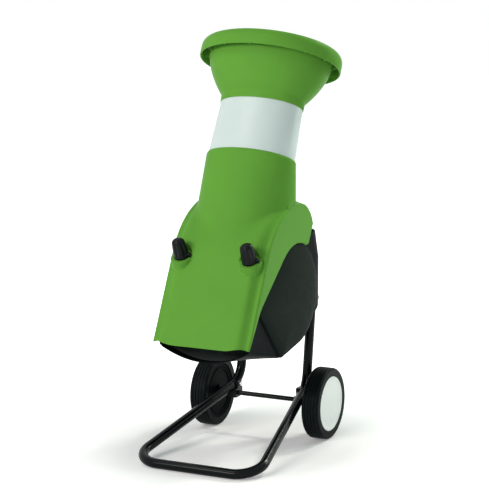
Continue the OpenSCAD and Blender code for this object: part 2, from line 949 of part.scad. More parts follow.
blade_reach = disc_d / 2 - 6;
blade_in = 44;
blade_w = 28;
blade_t = 5;
blade_spots = [for (side = [0, 180], r = [blade_in + 14, blade_reach - 16])
    [r * cos(side), -motor_front + r * sin(side)]];

module blade_disc() {
    color(steel) from_axle() difference() {
        union() {
            post(disc_d / 2, disc_low, disc_low + disc_t, 0, -motor_front);
            post(26, plate_top + 4, disc_low, 0, -motor_front);
        }
        post(shaft_d / 2 + seat_gap / 3, plate_top, disc_low + disc_t + 1, 0, -motor_front);
        for (p = blade_spots) post(3.2, disc_low - 1, disc_low + disc_t + 1, p[0], p[1]);
    }
}

module blades() {
    top = disc_low + disc_t;
    color(steel) from_axle() difference() {
        translate([0, -motor_front, top]) for (side = [0, 180]) rotate([0, 0, side])
            translate([blade_in, -blade_w / 2, 0]) cube([blade_reach - blade_in, blade_w, blade_t]);
        for (p = blade_spots) post(3.2, top - 1, top + blade_t + 1, p[0], p[1]);
    }
}

module blade_screws() {
    top = disc_low + disc_t + blade_t;
    color(steel) from_axle() for (p = blade_spots) {
        post(3, disc_low + 1, top, p[0], p[1]);
        post(5.5, top, top + 3.5, p[0], p[1]);
    }
}

module blade_bolt() {
    top = disc_low + disc_t;
    color(steel) from_axle() {
        post(20, top, top + 3, 0, -motor_front);
        translate([0, -motor_front, top + 3]) cylinder(r = 10, h = 8, $fn = 6);
    }
}

// Hopper

// Green shell: each ring runs over the front from right to left, along the left cheek, over the back
// and along the right cheek, from the open lower edge up to the top of the neck
front_cols = 36;
side_cols = 12;
rear_cols = 8;
body_rows = 12;
rear_span = 50;

// Neck between its front and back lines at height z, widest at neck_mid
neck_ring_top = feed(neck_top, 0, neck_half - oval_diff);
neck_ring_back = feed(neck_top, 0, oval_diff - neck_half);
function neck_front(z) = neck_ring_top[1] - (neck_ring_top[2] - z) * neck_front_slope;
function neck_back(z) = neck_ring_back[1] - (neck_ring_back[2] - z) * neck_back_slope;
function neck_mid(z) = neck_wide_y - (neck_foot - z) * neck_front_slope;
function neck_depth(z) = neck_mid(z) - neck_front(z);
function neck_w(z) = neck_half + neck_taper * (neck_ring_top[2] - z);
function neck_y(x, z) =
    let (u = abs(x) / neck_w(z))
    u < 1 ? neck_mid(z) - neck_depth(z) * sqrt(1 - u * u) : neck_mid(z) + (u - 1) * 900;

// Ridge of a cheek, as a curve from 0 at the low corner to 1 at body_top
ridge_from = tangent_angle(cheek_low, ridge_mid, ridge_r) + 360;
ridge_to = 180 - asin((body_top - ridge_mid[1]) / ridge_r);
ridge_join = on_circle(ridge_mid, ridge_r, ridge_from);
ridge_turn = 0.6;
function ridge(f) =
    f < ridge_turn ? mix(cheek_low, ridge_join, f / ridge_turn)
    : on_circle(ridge_mid, ridge_r, mix(ridge_from, ridge_to, (f - ridge_turn) / (1 - ridge_turn)));
function rear_edge(f) =
    on_circle(rear_arc, rear_arc[2], mix(rear_turn, asin((body_top - rear_arc[1]) / rear_arc[2]), f));

// Lower edge of a cheek from its front corner over the domed panel to the back
arch_mid = [dome_circles[0][0], dome_circles[0][1]];
arch_r = dome_circles[0][2] + arch_gap;
arch_from = tangent_angle(arch_tip, arch_mid, arch_r);
arch_to = atan2(rear_tip[1] - arch_mid[1], rear_tip[0] - arch_mid[0]);
function arch(f) =
    f < 0.25 ? mix(cheek_low, arch_tip, f / 0.25)
    : f < 0.5 ? mix(arch_tip, on_circle(arch_mid, arch_r, arch_from), (f - 0.25) / 0.25)
    : f < 0.85 ? on_circle(arch_mid, arch_r, mix(arch_from, arch_to, (f - 0.5) / 0.35))
    : mix(on_circle(arch_mid, arch_r, arch_to), rear_edge(0), (f - 0.85) / 0.15);

// Point of a cheek seen from the side, k from front to back and j from the lower edge up
function cheek(k, j, e) =
    let (
        front = ridge(j) + [e, 0],
        back = rear_edge(j) - [e, e] * 0.7,
        top = mix(ridge(1) + [e, 0], rear_edge(1) - [e, e] * 0.7, k) + [0, cheek_crown * 4 * k * (1 - k)],
        corner_a = mix(ridge(0) + [e, 0], rear_edge(0) - [e, e] * 0.7, k),
        corner_b = mix(ridge(1) + [e, 0], rear_edge(1) - [e, e] * 0.7, k),
        low = arch(k) + mix([e, 0], -[e, e] * 0.7, k)
    )
    mix(front, back, k) + mix(low, top, j) - mix(corner_a, corner_b, j);

// Front face: panel that stands out between two shallow grooves, with the neck growing out of it
function bow(u, j) =
    -panel_bow * mix(foot_bow, 1, min(j / ridge_turn, 1)) / (1 + (u / panel_edge) ^ panel_sharp)
    + groove_depth * exp(-((u - groove_at) / groove_half) ^ 2) * (1 - u ^ 12);
function front_y(x, z, j) =
    smooth_min(neck_y(x, z), ridge(j)[0] + bow(abs(x) / cheek_half, j), blend_w);

// Lower edge of the panel: raised a little in the middle and more beside the grooves
function panel_foot(u) =
    foot_lift * exp(-((u - foot_lift_at) / foot_lift_half) ^ 2) + foot_rise * (1 - u * u);

function body_ring(j, e) =
    let (w = cheek_half - e, z = ridge(j)[1] - (j == 1 ? e : 0))
    concat(
        [for (i = [0:front_cols])
            let (u = cos(i * 180 / front_cols), lift = j == 0 ? panel_foot(abs(u)) : 0)
            [u * w, front_y(u * cheek_half, z, j) + e, z + lift]],
        [for (i = [1:side_cols - 1]) let (p = cheek(i / side_cols, j, e)) [-w, p[0], p[1]]],
        [for (i = [0:rear_cols])
            let (p = cheek(1, j, e), s = mix(-1, 1, i / rear_cols))
            [s * w, p[0] + rear_bulge * (1 - s * s) * j ^ 3, p[1]]],
        [for (i = [side_cols - 1:-1:1]) let (p = cheek(i / side_cols, j, e)) [w, p[0], p[1]]]
    );
neck_angles = concat(
    [for (i = [0:front_cols]) i * 180 / front_cols],
    [for (i = [1:side_cols - 1]) 180 + rear_span * i / side_cols],
    [for (i = [0:rear_cols]) 180 + rear_span + (180 - 2 * rear_span) * i / rear_cols],
    [for (i = [1:side_cols - 1]) 360 - rear_span + rear_span * i / side_cols]
);
function neck_ring(z, e) = [
    for (p = neck_angles)
        let (depth = p < 180 ? neck_depth(z) : neck_back(z) - neck_mid(z))
        [(neck_w(z) - e) * cos(p), neck_mid(z) - (depth - e) * sin(p), z]
];
function neck_rows(e) =
    let (low = neck_ring(neck_foot, e), high = oval(neck_top - neck_round, neck_half - e, neck_angles))
    [for (f = [0, 0.33, 0.67, 1]) [for (i = [0:len(low) - 1]) mix(low[i], high[i], f)]];
neck_lip = tube_half(neck_top) + 0.4;
shell_rows = concat(
    [for (j = [0:body_rows]) body_ring(j / body_rows, 0)],
    neck_rows(0),
    [oval(neck_top - neck_round * 0.3, neck_half - neck_round * 0.12, neck_angles)],
    [oval(neck_top, (neck_half + neck_lip) / 2, neck_angles)],
    [oval(neck_top - 1, neck_lip, neck_angles)],
    [oval(neck_top - neck_round * 0.6, neck_lip, neck_angles)],
    reversed(neck_rows(shell_wall)),
    [for (j = [body_rows:-1:0]) body_ring(j / body_rows, shell_wall)]
);

// Cup that holds a knob's seat: a boss in front of the panel and a pocket behind it
module knob_seat(side) {
    front = [for (j = [0.2:0.1:1]) [front_y(knob_half, ridge(j)[1], j), ridge(j)[1]]];
    last = len(front) - 1;
    cup_r = seat_r + seat_wall;
    cut_front = seat_at[0] - 4 * seat_deep;
    cut_rear = seat_at[0] + 3 * seat_deep;
    difference() {
        along_screw(side) translate([0, 0, -seat_deep]) cylinder(r = cup_r, h = 2 * seat_deep);
        along_screw(side) cylinder(r = seat_r, h = 2 * seat_deep);
        along_screw(side) translate([0, 0, -2 * seat_deep]) cylinder(r = seat_r, h = 2 * seat_deep - seat_t);
        along_screw(side) translate([0, 0, -2 * seat_t]) cylinder(r = screw_d / 2 + run_gap, h = 3 * seat_t);
        intersection() {
            along_screw(side) cylinder(r = 2 * cup_r, h = 2 * seat_deep);
            seat_cut(side, concat(front, [[cut_front, front[last][1]], [cut_front, front[0][1]]]));
        }
        intersection() {
            along_screw(side) translate([0, 0, -2 * seat_deep])
                cylinder(r = 2 * cup_r, h = 2 * seat_deep - seat_t);
            seat_cut(side, concat(front, [[cut_rear, front[last][1]], [cut_rear, front[0][1]]]));
        }
    }
}

// Prism across one seat with the given outline seen from the side
module seat_cut(side, outline) {
    from_axle() translate([side * knob_half - 2 * seat_r, 0, 0]) rotate([90, 0, 90])
        linear_extrude(4 * seat_r) polygon(outline);
}

module knob_seats() {
    color(green) for (side = [-1, 1]) knob_seat(side);
}

module upper_housing() {
    color(green) difference() {
        from_axle() ring_loft(shell_rows);
        for (side = [-1, 1]) along_screw(side)
            translate([0, 0, -seat_deep]) cylinder(r = seat_r + seat_wall, h = 2 * seat_deep);
    }
}

// Feed tube, bowl and throat

function tube_half(t) =
    t > neck_top ? tube_top_half + tube_taper * (tube_top - t)
    : tube_top_half + tube_taper * (tube_top - neck_top) - tube_tuck * (neck_top - t);

module feed_tube() {
    ends = [tube_low, neck_top, tube_top];
    color(milk) from_axle() ring_loft(concat(
        [for (t = ends) oval(t, tube_half(t), full_turn)],
        [for (t = reversed(ends)) oval(t, tube_half(t) - feed_wall, full_turn)]
    ));
}

collar_h = 26;
bowl_wall = 4;
skirt_t = 5;
rim_h = 57;
crown_r = 22;
crown_h = 28;
hollow_h = 46;
hollow_taper = 8;
bowl_half = rim_half - 30;

// Bowl wall as a quarter arc between the collar and the rim, inset by e
function bowl_curve(e) = [
    for (p = [0:15:75])
        let (low = collar_low + collar_h + 2, high = rim_low + 30)
        [mix(tube_top_half + 6, bowl_half, sin(p / 75 * 90) ^ 0.9) - e, mix(low, high, p / 75)]
];
bowl_profile = concat(
    [[tube_top_half + 3.5, collar_low], [tube_top_half + 5, collar_low + collar_h]],
    bowl_curve(0),
    [[bowl_half + 1, rim_low + hollow_h], [rim_half - skirt_t - hollow_taper, rim_low + hollow_h]],
    [[rim_half - skirt_t, rim_low + 2], [rim_half - 1, rim_low]],
    [[rim_half, rim_low + 3]],
    [for (p = [0:22.5:112.5])
        [rim_half - crown_r + crown_r * cos(p), rim_low + rim_h - crown_h + crown_h * sin(p)]],
    [[bowl_half - bowl_wall - 1, rim_low + 44]],
    reversed(bowl_curve(bowl_wall)),
    [[tube_top_half - feed_wall, collar_low + collar_h], [tube_top_half + 0.4, collar_low + collar_h]],
    [[tube_top_half + 1.6, collar_low]]
);

// The axle's place behind the origin, which lies under the middle of the whole machine
rim_rear = max([for (q = bowl_profile) feed(q[1], 0, oval_diff - q[0])[1]]);
axle_back = (foot_reach + tube_r - rim_rear) / 2;

module hopper_bowl() {
    color(green) from_axle() ring_loft([for (q = bowl_profile) oval(q[1], q[0], full_turn)]);
}

// Throat from the oval tube to the round opening over the disc
function inlet_ring(r) = [for (p = full_turn) [r * cos(p), inlet_y - r * sin(p), cover_low + cover_t]];
function throat_rows(e) =
    let (
        high = oval(tube_low - seat_gap, tube_half(tube_low) - e, full_turn),
        low = inlet_ring(inlet_r + 4 - e)
    )
    [for (f = [0:0.25:1]) [for (i = [0:len(low) - 1]) mix(low[i], high[i], f)]];

module feed_throat() {
    color(black) from_axle() ring_loft(concat(throat_rows(0), reversed(throat_rows(4))));
}

module chamber_cover() {
    w = base_half - base_wall - 6;
    color(black) from_axle() difference() {
        translate([0, 0, cover_low]) linear_extrude(cover_t) polygon([
            [w, cover_rear], [-w, cover_rear], [-w, cover_side], [-cover_nose, cover_front],
            [cover_nose, cover_front], [w, cover_side]
        ]);
        post(inlet_r, cover_low - 1, cover_low + cover_t + 1, 0, inlet_y);
    }
}

// Hinge arms from the back of the shell to the pin
module hinge_leaf() {
    x = ear_x + ear_w / 2 + 1;
    root = rear_edge(0.5);
    arm = norm(root - hinge);
    lean = atan2(root[1] - hinge[1], hinge[0] - root[0]);
    arm_half = pin_ear_r - 3;
    color(green) from_axle() both_sides() translate([x, hinge[0], hinge[1]]) rotate([90, 0, 90])
        linear_extrude(leaf_w) difference() {
            union() {
                circle(r = pin_ear_r);
                rotate(-lean) translate([-arm - 1, -arm_half]) square([arm, 2 * arm_half]);
            }
            circle(r = pin_r + run_gap);
        }
}

// Knobs

knob_flutes = 6;
knob_lift = 1;
flute_r = 6;
flute_depth = 2.6;
flute_ends = 5;
wing_out = 6;
wing_w = 8;
wing_h = 16;

module knob(side) {
    foot_r = knob_d / 2;
    head_r = knob_head_d / 2;
    foot_h = 6;
    crown_h = 6;
    crown_in = 5;
    body_h = knob_len - foot_h - crown_h;
    slope = atan2(foot_r - 1 - head_r, body_h);
    color(black) along_screw(side) translate([0, 0, knob_lift]) difference() {
        union() {
            cylinder(r = foot_r, h = foot_h);
            translate([0, 0, foot_h]) cylinder(r1 = foot_r - 1, r2 = head_r, h = body_h);
            translate([0, 0, knob_len - crown_h]) cylinder(r1 = head_r, r2 = head_r - crown_in, h = crown_h);
            translate([0, -wing_w / 2, 0]) cube([foot_r + wing_out, wing_w, wing_h]);
        }
        for (k = [0:knob_flutes - 1]) rotate([0, 0, (k + 0.5) * 360 / knob_flutes])
            translate([foot_r - 1 + flute_r - flute_depth, 0, foot_h + flute_ends]) rotate([0, -slope, 0])
                cylinder(r = flute_r, h = body_h - 2 * flute_ends);
    }
}

module left_knob() {
    knob(-1);
}

module right_knob() {
    knob(1);
}

module knob_screw(side) {
    color(steel) along_screw(side) translate([0, 0, -socket_drop - engage])
        cylinder(r = screw_d / 2, h = socket_drop + engage + knob_lift);
}

module left_knob_screw() {
    knob_screw(-1);
}

module right_knob_screw() {
    knob_screw(1);
}

front_foot();
left_leg();
right_leg();
axle();
axle_brackets();
axle_spacers();
axle_retainers();
frame_bolts();
upright_bolts();
left_tyre();
left_wheel_core();
left_hub_cap();
right_tyre();
right_wheel_core();
right_hub_cap();
base_housing();
left_side_panel();
right_side_panel();
rear_deck();
rear_cover();
switch_housing();
switch_rocker();
reset_button();
mains_inlet();
hinge_bracket();
hinge_pin();
knob_sockets();
motor_plate();
chute_plate();
motor_can();
motor_end_cap();
stator_core();
motor_bearings();
motor_bolts();
run_capacitor();
chamber_ring();
safety_switch();
safety_plunger();
rotor_shaft();
rotor_core();
cooling_fan();
blade_disc();
blades();
blade_screws();
blade_bolt();
upper_housing();
knob_seats();
feed_tube();
hopper_bowl();
feed_throat();
chamber_cover();
hinge_leaf();
left_knob();
right_knob();
left_knob_screw();
right_knob_screw();
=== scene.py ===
"""Garden shredder: the looks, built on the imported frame.

Shapes are laid out in millimetres from the floor under the axle, with the front towards -Y, and
to_frame() turns them into the frame's metres.
"""
import json
import math

import bmesh
import bpy
from mathutils import Matrix, Vector


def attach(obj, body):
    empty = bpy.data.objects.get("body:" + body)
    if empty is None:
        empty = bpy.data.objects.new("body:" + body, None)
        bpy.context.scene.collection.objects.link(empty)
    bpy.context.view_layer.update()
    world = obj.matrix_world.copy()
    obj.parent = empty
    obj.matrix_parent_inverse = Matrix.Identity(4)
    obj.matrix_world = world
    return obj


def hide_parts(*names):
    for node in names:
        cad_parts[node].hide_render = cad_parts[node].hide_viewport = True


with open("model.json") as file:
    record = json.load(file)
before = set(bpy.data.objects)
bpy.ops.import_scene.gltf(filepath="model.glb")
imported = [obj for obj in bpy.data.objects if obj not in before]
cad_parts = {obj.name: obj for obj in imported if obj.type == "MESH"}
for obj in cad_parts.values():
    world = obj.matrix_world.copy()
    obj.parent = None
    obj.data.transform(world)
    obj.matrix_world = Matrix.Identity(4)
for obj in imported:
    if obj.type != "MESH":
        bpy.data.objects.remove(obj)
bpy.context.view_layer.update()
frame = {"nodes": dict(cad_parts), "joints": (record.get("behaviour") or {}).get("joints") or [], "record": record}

MM = 0.001
JOINTS = {joint["name"]: joint for joint in frame["joints"]}
WHEEL_X, AXLE_BACK, WHEEL_R = [value / MM for value in JOINTS["right_wheel_spin"]["pos_m"]]


# Small helpers for points and curves

def to_frame(point):
    """Millimetres from the floor under the axle, as metres in the frame."""
    return Vector((point[0], point[1] + AXLE_BACK, point[2])) * MM


def mix(a, b, f):
    return a + (b - a) * f


def mix_points(p, q, f):
    return tuple(mix(a, b, f) for a, b in zip(p, q))


def plus(p, q):
    return tuple(a + b for a, b in zip(p, q))


def spread(start, stop, count):
    """Evenly spaced values, both ends included."""
    return [mix(start, stop, i / (count - 1)) for i in range(count)]


def on_circle(centre, radius, degrees):
    angle = math.radians(degrees)
    return (centre[0] + radius * math.cos(angle), centre[1] + radius * math.sin(angle))


def circle(count):
    """Evenly spaced angles round a full turn, in radians."""
    return [2 * math.pi * k / count for k in range(count)]


def arc(centre, radii, start, stop, count):
    """Points along a stretch of an ellipse, from one angle in degrees to another."""
    turns = [math.radians(a) for a in spread(start, stop, count)]
    return [(centre[0] + radii[0] * math.cos(a), centre[1] + radii[1] * math.sin(a)) for a in turns]


def bell(value, middle, half):
    """1 at the middle, falling away smoothly on both sides."""
    return math.exp(-((value - middle) / half) ** 2)


def clipped(value):
    return min(max(value, 0), 1)


def smooth_min(a, b, width):
    """The smaller of two values, blended where they are close."""
    h = max(width - abs(a - b), 0) / width
    return min(a, b) - h * h * width / 4


def linear(colour):
    """An sRGB colour of 0 to 255 as the linear values that shaders take."""
    values = [c / 255 for c in colour]
    return [v / 12.92 if v <= 0.04045 else ((v + 0.055) / 1.055) ** 2.4 for v in values] + [1.0]


def scaled(colour, factor):
    """A lighter or darker version of a linear colour."""
    return [min(c * factor, 1.0) for c in colour[:3]] + [1.0]


# Materials

# The middle stretch of a noise, over which tints and roughness change
NOISE_LOW = 0.3
NOISE_HIGH = 0.7
# Pointiness at which an edge starts to look worn, and at which it is fully so
EDGE_START = 0.52
EDGE_FULL = 0.62


def new_material(name):
    material = bpy.data.materials.new(name)
    material.use_nodes = True
    nodes = material.node_tree.nodes
    return material, nodes, material.node_tree.links, nodes["Principled BSDF"]


def noise(nodes, links, scale, detail=4.0, roughness=0.55, stretch=None):
    """Noise in the frame's own metres, so that its grain has a real size."""
    coords = nodes.new("ShaderNodeTexCoord")
    texture = nodes.new("ShaderNodeTexNoise")
    texture.inputs["Scale"].default_value = scale
    texture.inputs["Detail"].default_value = detail
    texture.inputs["Roughness"].default_value = roughness
    source = coords.outputs["Object"]
    if stretch:
        mapping = nodes.new("ShaderNodeMapping")
        mapping.inputs["Scale"].default_value = stretch
        links.new(source, mapping.inputs["Vector"])
        source = mapping.outputs["Vector"]
    links.new(source, texture.inputs["Vector"])
    return texture.outputs["Fac"]


def tinted(nodes, links, fac, low, high):
    """A colour that drifts between two close tints."""
    ramp = nodes.new("ShaderNodeValToRGB")
    ramp.color_ramp.elements[0].position = NOISE_LOW
    ramp.color_ramp.elements[0].color = low
    ramp.color_ramp.elements[1].position = NOISE_HIGH
    ramp.color_ramp.elements[1].color = high
    links.new(fac, ramp.inputs["Fac"])
    return ramp.outputs["Color"]


def ranged(nodes, links, fac, low, high):
    """A value that drifts between two limits."""
    span = nodes.new("ShaderNodeMapRange")
    span.inputs["From Min"].default_value = NOISE_LOW
    span.inputs["From Max"].default_value = NOISE_HIGH
    span.inputs["To Min"].default_value = low
    span.inputs["To Max"].default_value = high
    links.new(fac, span.inputs["Value"])
    return span.outputs["Result"]


def bumped(nodes, links, shader, height, strength, distance):
    bump = nodes.new("ShaderNodeBump")
    bump.inputs["Strength"].default_value = strength
    bump.inputs["Distance"].default_value = distance
    links.new(height, bump.inputs["Height"])
    links.new(bump.outputs["Normal"], shader.inputs["Normal"])


def worn_edges(nodes, links, colour, edge_colour, amount):
    """Lightens the sharp edges, where a moulded or painted piece rubs."""
    geometry = nodes.new("ShaderNodeNewGeometry")
    rub = nodes.new("ShaderNodeMapRange")
    rub.inputs["From Min"].default_value = EDGE_START
    rub.inputs["From Max"].default_value = EDGE_FULL
    rub.inputs["To Max"].default_value = amount
    links.new(geometry.outputs["Pointiness"], rub.inputs["Value"])
    blend = nodes.new("ShaderNodeMix")
    blend.data_type = "RGBA"
    links.new(rub.outputs["Result"], blend.inputs["Factor"])
    links.new(colour, blend.inputs["A"])
    blend.inputs["B"].default_value = edge_colour
    return blend.outputs["Result"]


def plastic(name, colour, roughness, drift=0.05, grain=900.0, depth=0.08, specular=0.4, rub=0.06):
    """Moulded plastic: a slow drift of tint, a fine spark-eroded grain and slightly rubbed edges."""
    material, nodes, links, shader = new_material(name)
    base = linear(colour)
    cloud = noise(nodes, links, 9.0)
    tint = tinted(nodes, links, cloud, scaled(base, 1 - drift), scaled(base, 1 + drift))
    edge = [min(c * 1.5 + 0.02, 1.0) for c in base[:3]] + [1.0]
    links.new(worn_edges(nodes, links, tint, edge, rub), shader.inputs["Base Color"])
    patchy = noise(nodes, links, 45.0)
    links.new(ranged(nodes, links, patchy, roughness * 0.9, roughness * 1.1), shader.inputs["Roughness"])
    shader.inputs["Specular IOR Level"].default_value = specular
    bumped(nodes, links, shader, noise(nodes, links, grain, 2.0), depth, 0.0006)
    return material


def milky_plastic(name, colour):
    """Pale tube moulding that lets a little light in under its skin."""
    material = plastic(name, colour, 0.34, drift=0.02, grain=500.0, depth=0.03, specular=0.45)
    shader = material.node_tree.nodes["Principled BSDF"]
    shader.inputs["Subsurface Weight"].default_value = 0.25
    shader.inputs["Subsurface Radius"].default_value = (0.012, 0.012, 0.011)
    shader.inputs["Subsurface Scale"].default_value = 0.5
    return material


def enamel(name, colour):
    """Gloss powder coat with a faint orange peel."""
    material, nodes, links, shader = new_material(name)
    base = linear(colour)
    cloud = noise(nodes, links, 14.0)
    tint = tinted(nodes, links, cloud, scaled(base, 0.85), scaled(base, 1.2))
    edge = [min(c + 0.08, 1.0) for c in base[:3]] + [1.0]
    links.new(worn_edges(nodes, links, tint, edge, 0.1), shader.inputs["Base Color"])
    links.new(ranged(nodes, links, noise(nodes, links, 60.0), 0.13, 0.2), shader.inputs["Roughness"])
    shader.inputs["Specular IOR Level"].default_value = 0.11
    bumped(nodes, links, shader, noise(nodes, links, 260.0, 1.0), 0.03, 0.0002)
    return material


def metal(name, colour, roughness, brushed=(1.0, 1.0, 12.0)):
    """Bare metal with drawn scratches and patchy sheen."""
    material, nodes, links, shader = new_material(name)
    base = linear(colour)
    streaks = noise(nodes, links, 160.0, 3.0, 0.6, brushed)
    links.new(tinted(nodes, links, streaks, scaled(base, 0.8), base), shader.inputs["Base Color"])
    shader.inputs["Metallic"].default_value = 1.0
    links.new(ranged(nodes, links, streaks, roughness * 0.8, roughness * 1.3), shader.inputs["Roughness"])
    bumped(nodes, links, shader, streaks, 0.08, 0.0003)
    return material


def tyre_rubber(name, colour):
    """Matt moulding with dusty high spots."""
    material, nodes, links, shader = new_material(name)
    base = linear(colour)
    dust = noise(nodes, links, 70.0, 6.0, 0.65)
    dusty = [c * 1.5 + 0.004 for c in base[:3]] + [1.0]
    tint = tinted(nodes, links, dust, base, dusty)
    links.new(worn_edges(nodes, links, tint, linear((90, 96, 92)), 0.05), shader.inputs["Base Color"])
    links.new(ranged(nodes, links, dust, 0.28, 0.4), shader.inputs["Roughness"])
    shader.inputs["Specular IOR Level"].default_value = 0.02
    bumped(nodes, links, shader, noise(nodes, links, 500.0, 3.0), 0.06, 0.0004)
    return material


MATERIALS = {
    "green_plastic": plastic("green_plastic", (107, 169, 66), 0.36, drift=0.03, depth=0.04, specular=0.02),
    "milky_plastic": milky_plastic("milky_plastic", (224, 235, 237)),
    "charcoal_plastic": plastic(
        "charcoal_plastic", (36, 43, 40), 0.55, drift=0.1, grain=650.0, depth=0.25, specular=0.01
    ),
    "black_plastic": plastic("black_plastic", (15, 20, 22), 0.4, drift=0.1, depth=0.05, specular=0.01),
    "knob_black": plastic("knob_black", (11, 16, 18), 0.3, drift=0.1, depth=0.05, specular=0.12),
    # Painted light: a lighter black for the chute plate, standing in for light that does not reach inside the
    # mouth.
    "painted_light_black": plastic("painted_light_black", (58, 63, 64), 0.5, drift=0.25, depth=0.15, specular=0.01),
    "black_paint": enamel("black_paint", (8, 14, 17)),
    "steel": metal("steel", (196, 198, 202), 0.3),
    "tyre_black": tyre_rubber("tyre_black", (19, 24, 25)),
    "white_plastic": plastic("white_plastic", (246, 249, 249), 0.36, drift=0.015, depth=0.03),
    "motor_metal": metal("motor_metal", (150, 152, 155), 0.45, brushed=(1.0, 1.0, 1.0)),
    "stator_metal": metal("stator_metal", (122, 92, 70), 0.5, brushed=(1.0, 1.0, 40.0)),
    "switch_green": plastic("switch_green", (30, 120, 44), 0.3, depth=0.02),
    "button_red": plastic("button_red", (176, 30, 28), 0.3, depth=0.02),
}


# Mesh helpers

def add_piece(name, skin, slot, body, nodes=(), sharp=38, finish=None):
    """Makes one smooth-shaded piece that rides on a body and stands for the named nodes."""
    mesh = bpy.data.meshes.new(name)
    mesh.from_pydata([to_frame(p) for p in skin.points], [], skin.faces)
    work = bmesh.new()
    work.from_mesh(mesh)
    bmesh.ops.recalc_face_normals(work, faces=work.faces)
    work.to_mesh(mesh)
    work.free()
    mesh.shade_smooth()
    mesh.set_sharp_from_angle(angle=math.radians(sharp))
    mesh.materials.append(MATERIALS[finish or slot])
    piece = bpy.data.objects.new(name, mesh)
    bpy.context.scene.collection.objects.link(piece)
    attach(piece, body)
    if nodes:
        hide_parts(*nodes)
    return piece


class Skin:
    """Collects the points and faces of one piece."""

    def __init__(self):
        self.points = []
        self.faces = []

    def loft(self, rings, loop=False, caps=False):
        """Joins closed rings of points, end to end, in a loop or with flat caps."""
        first = len(self.points)
        count = len(rings[0])
        for ring in rings:
            self.points.extend(ring)
        steps = len(rings) if loop else len(rings) - 1
        for j in range(steps):
            low = first + j * count
            high = first + (j + 1) % len(rings) * count
            for i in range(count):
                k = (i + 1) % count
                self.faces.append((low + i, low + k, high + k, high + i))
        if caps:
            self.faces.append(tuple(first + i for i in range(count)))
            last = first + (len(rings) - 1) * count
            self.faces.append(tuple(last + i for i in range(count)))

    def fan(self, ring, tip):
        """Closes a ring onto one point."""
        first = len(self.points)
        self.points.extend(ring)
        self.points.append(tip)
        count = len(ring)
        for i in range(count):
            self.faces.append((first + i, first + (i + 1) % count, first + count))

    def mirror(self):
        """The same skin on the other side."""
        other = Skin()
        other.points = [(-x, y, z) for x, y, z in self.points]
        other.faces = list(self.faces)
        return other


# The oval sections along the leaning feed axis

FEED_LEAN = math.radians(25.6)
FEED_FOOT = 574.0
OVAL_DIFF = 44.0
TURN = [360 * i / 120 for i in range(120)]


def feed(t, across, forward):
    """A point at length t along the feed axis."""
    y = -FEED_FOOT + t * math.sin(FEED_LEAN) - forward * math.cos(FEED_LEAN)
    z = t * math.cos(FEED_LEAN) + forward * math.sin(FEED_LEAN)
    return (across, y, z)


def oval(t, half, angles):
    depth = half - OVAL_DIFF
    turns = [math.radians(a) for a in angles]
    return [feed(t, half * math.cos(a), depth * math.sin(a)) for a in turns]


# Green shell

CHEEK_HALF = 170.0
CHEEK_LOW = (-496.0, 395.0)
RIDGE_MID = (-120.0, 543.0)
RIDGE_R = 266.0
RIDGE_TURN = 0.6
REAR_ARC = (-120.0, 690.0)
REAR_R = 119.0
REAR_TURN = 18.0
REAR_TIP = (-48.0, 656.0)
ARCH_TIP = (-408.0, 512.0)
ARCH_MID = (-130.0, 510.0)
ARCH_R = 171.0
# Where along the arch its tip, its round stretch and its straight rear end begin
ARCH_STOPS = (0.25, 0.5, 0.85)
BODY_TOP = 800.0
CHEEK_CROWN = 9.0
CHEEK_BACK_SLANT = 0.7
FOOT_RISE = 1.5
FOOT_LIFT = 8.0
FOOT_LIFT_AT = 0.81
FOOT_LIFT_HALF = 0.16
PANEL_BOW = 26.0
PANEL_EDGE = 0.84
PANEL_SHARP = 28
FOOT_BOW = 0.7
GROOVE_DEPTH = 3.0
GROOVE_AT = 0.92
GROOVE_HALF = 0.04
GROOVE_FADE = 12
BLEND_W = 22.0
NECK_HALF = 155.0
NECK_TOP = 1051.0
NECK_FOOT = BODY_TOP + 14
NECK_TAPER = 0.047
NECK_FRONT_SLOPE = 0.46
NECK_BACK_SLOPE = 0.2
NECK_WIDE_Y = -145.0
NECK_ROUND = 11.0
LIP_GAP = 0.4
LIP_TURN = 0.8
LIP_DEPTH = 0.6
NECK_FLARE = 900.0
REAR_BULGE = 34.0
REAR_BULGE_GROWTH = 3
SHELL_WALL = 4.0
CHEEK_ROUND = 5.0
CHEEK_ROUND_FADE = 6

# Feed tube
TUBE_TOP = 1253.7
TUBE_LOW = 960.0
TUBE_TOP_HALF = 141.0
TUBE_TAPER = 0.0445
TUBE_TUCK = 0.05
TUBE_WALL = 3.5

# Knob seats
KNOB_HALF = JOINTS["right_knob_turn"]["pos_m"][0] / MM
SEAT_Y = JOINTS["right_knob_turn"]["pos_m"][1] / MM - AXLE_BACK
SEAT_Z = JOINTS["right_knob_turn"]["pos_m"][2] / MM
KNOB_LEAN = math.acos(JOINTS["right_knob_turn"]["axis"][2])
SEAT_R = 36.0


def tangent_angle(point, centre, radius):
    dy, dz = point[0] - centre[0], point[1] - centre[1]
    return math.degrees(math.atan2(dz, dy) - math.acos(radius / math.hypot(dy, dz)))


RIDGE_FROM = tangent_angle(CHEEK_LOW, RIDGE_MID, RIDGE_R) % 360
RIDGE_TO = 180 - math.degrees(math.asin((BODY_TOP - RIDGE_MID[1]) / RIDGE_R))
RIDGE_JOIN = on_circle(RIDGE_MID, RIDGE_R, RIDGE_FROM)
REAR_END = math.degrees(math.asin((BODY_TOP - REAR_ARC[1]) / REAR_R))
ARCH_FROM = tangent_angle(ARCH_TIP, ARCH_MID, ARCH_R)
ARCH_TO = math.degrees(math.atan2(REAR_TIP[1] - ARCH_MID[1], REAR_TIP[0] - ARCH_MID[0]))
NECK_RING_TOP = feed(NECK_TOP, 0, NECK_HALF - OVAL_DIFF)
NECK_RING_BACK = feed(NECK_TOP, 0, OVAL_DIFF - NECK_HALF)


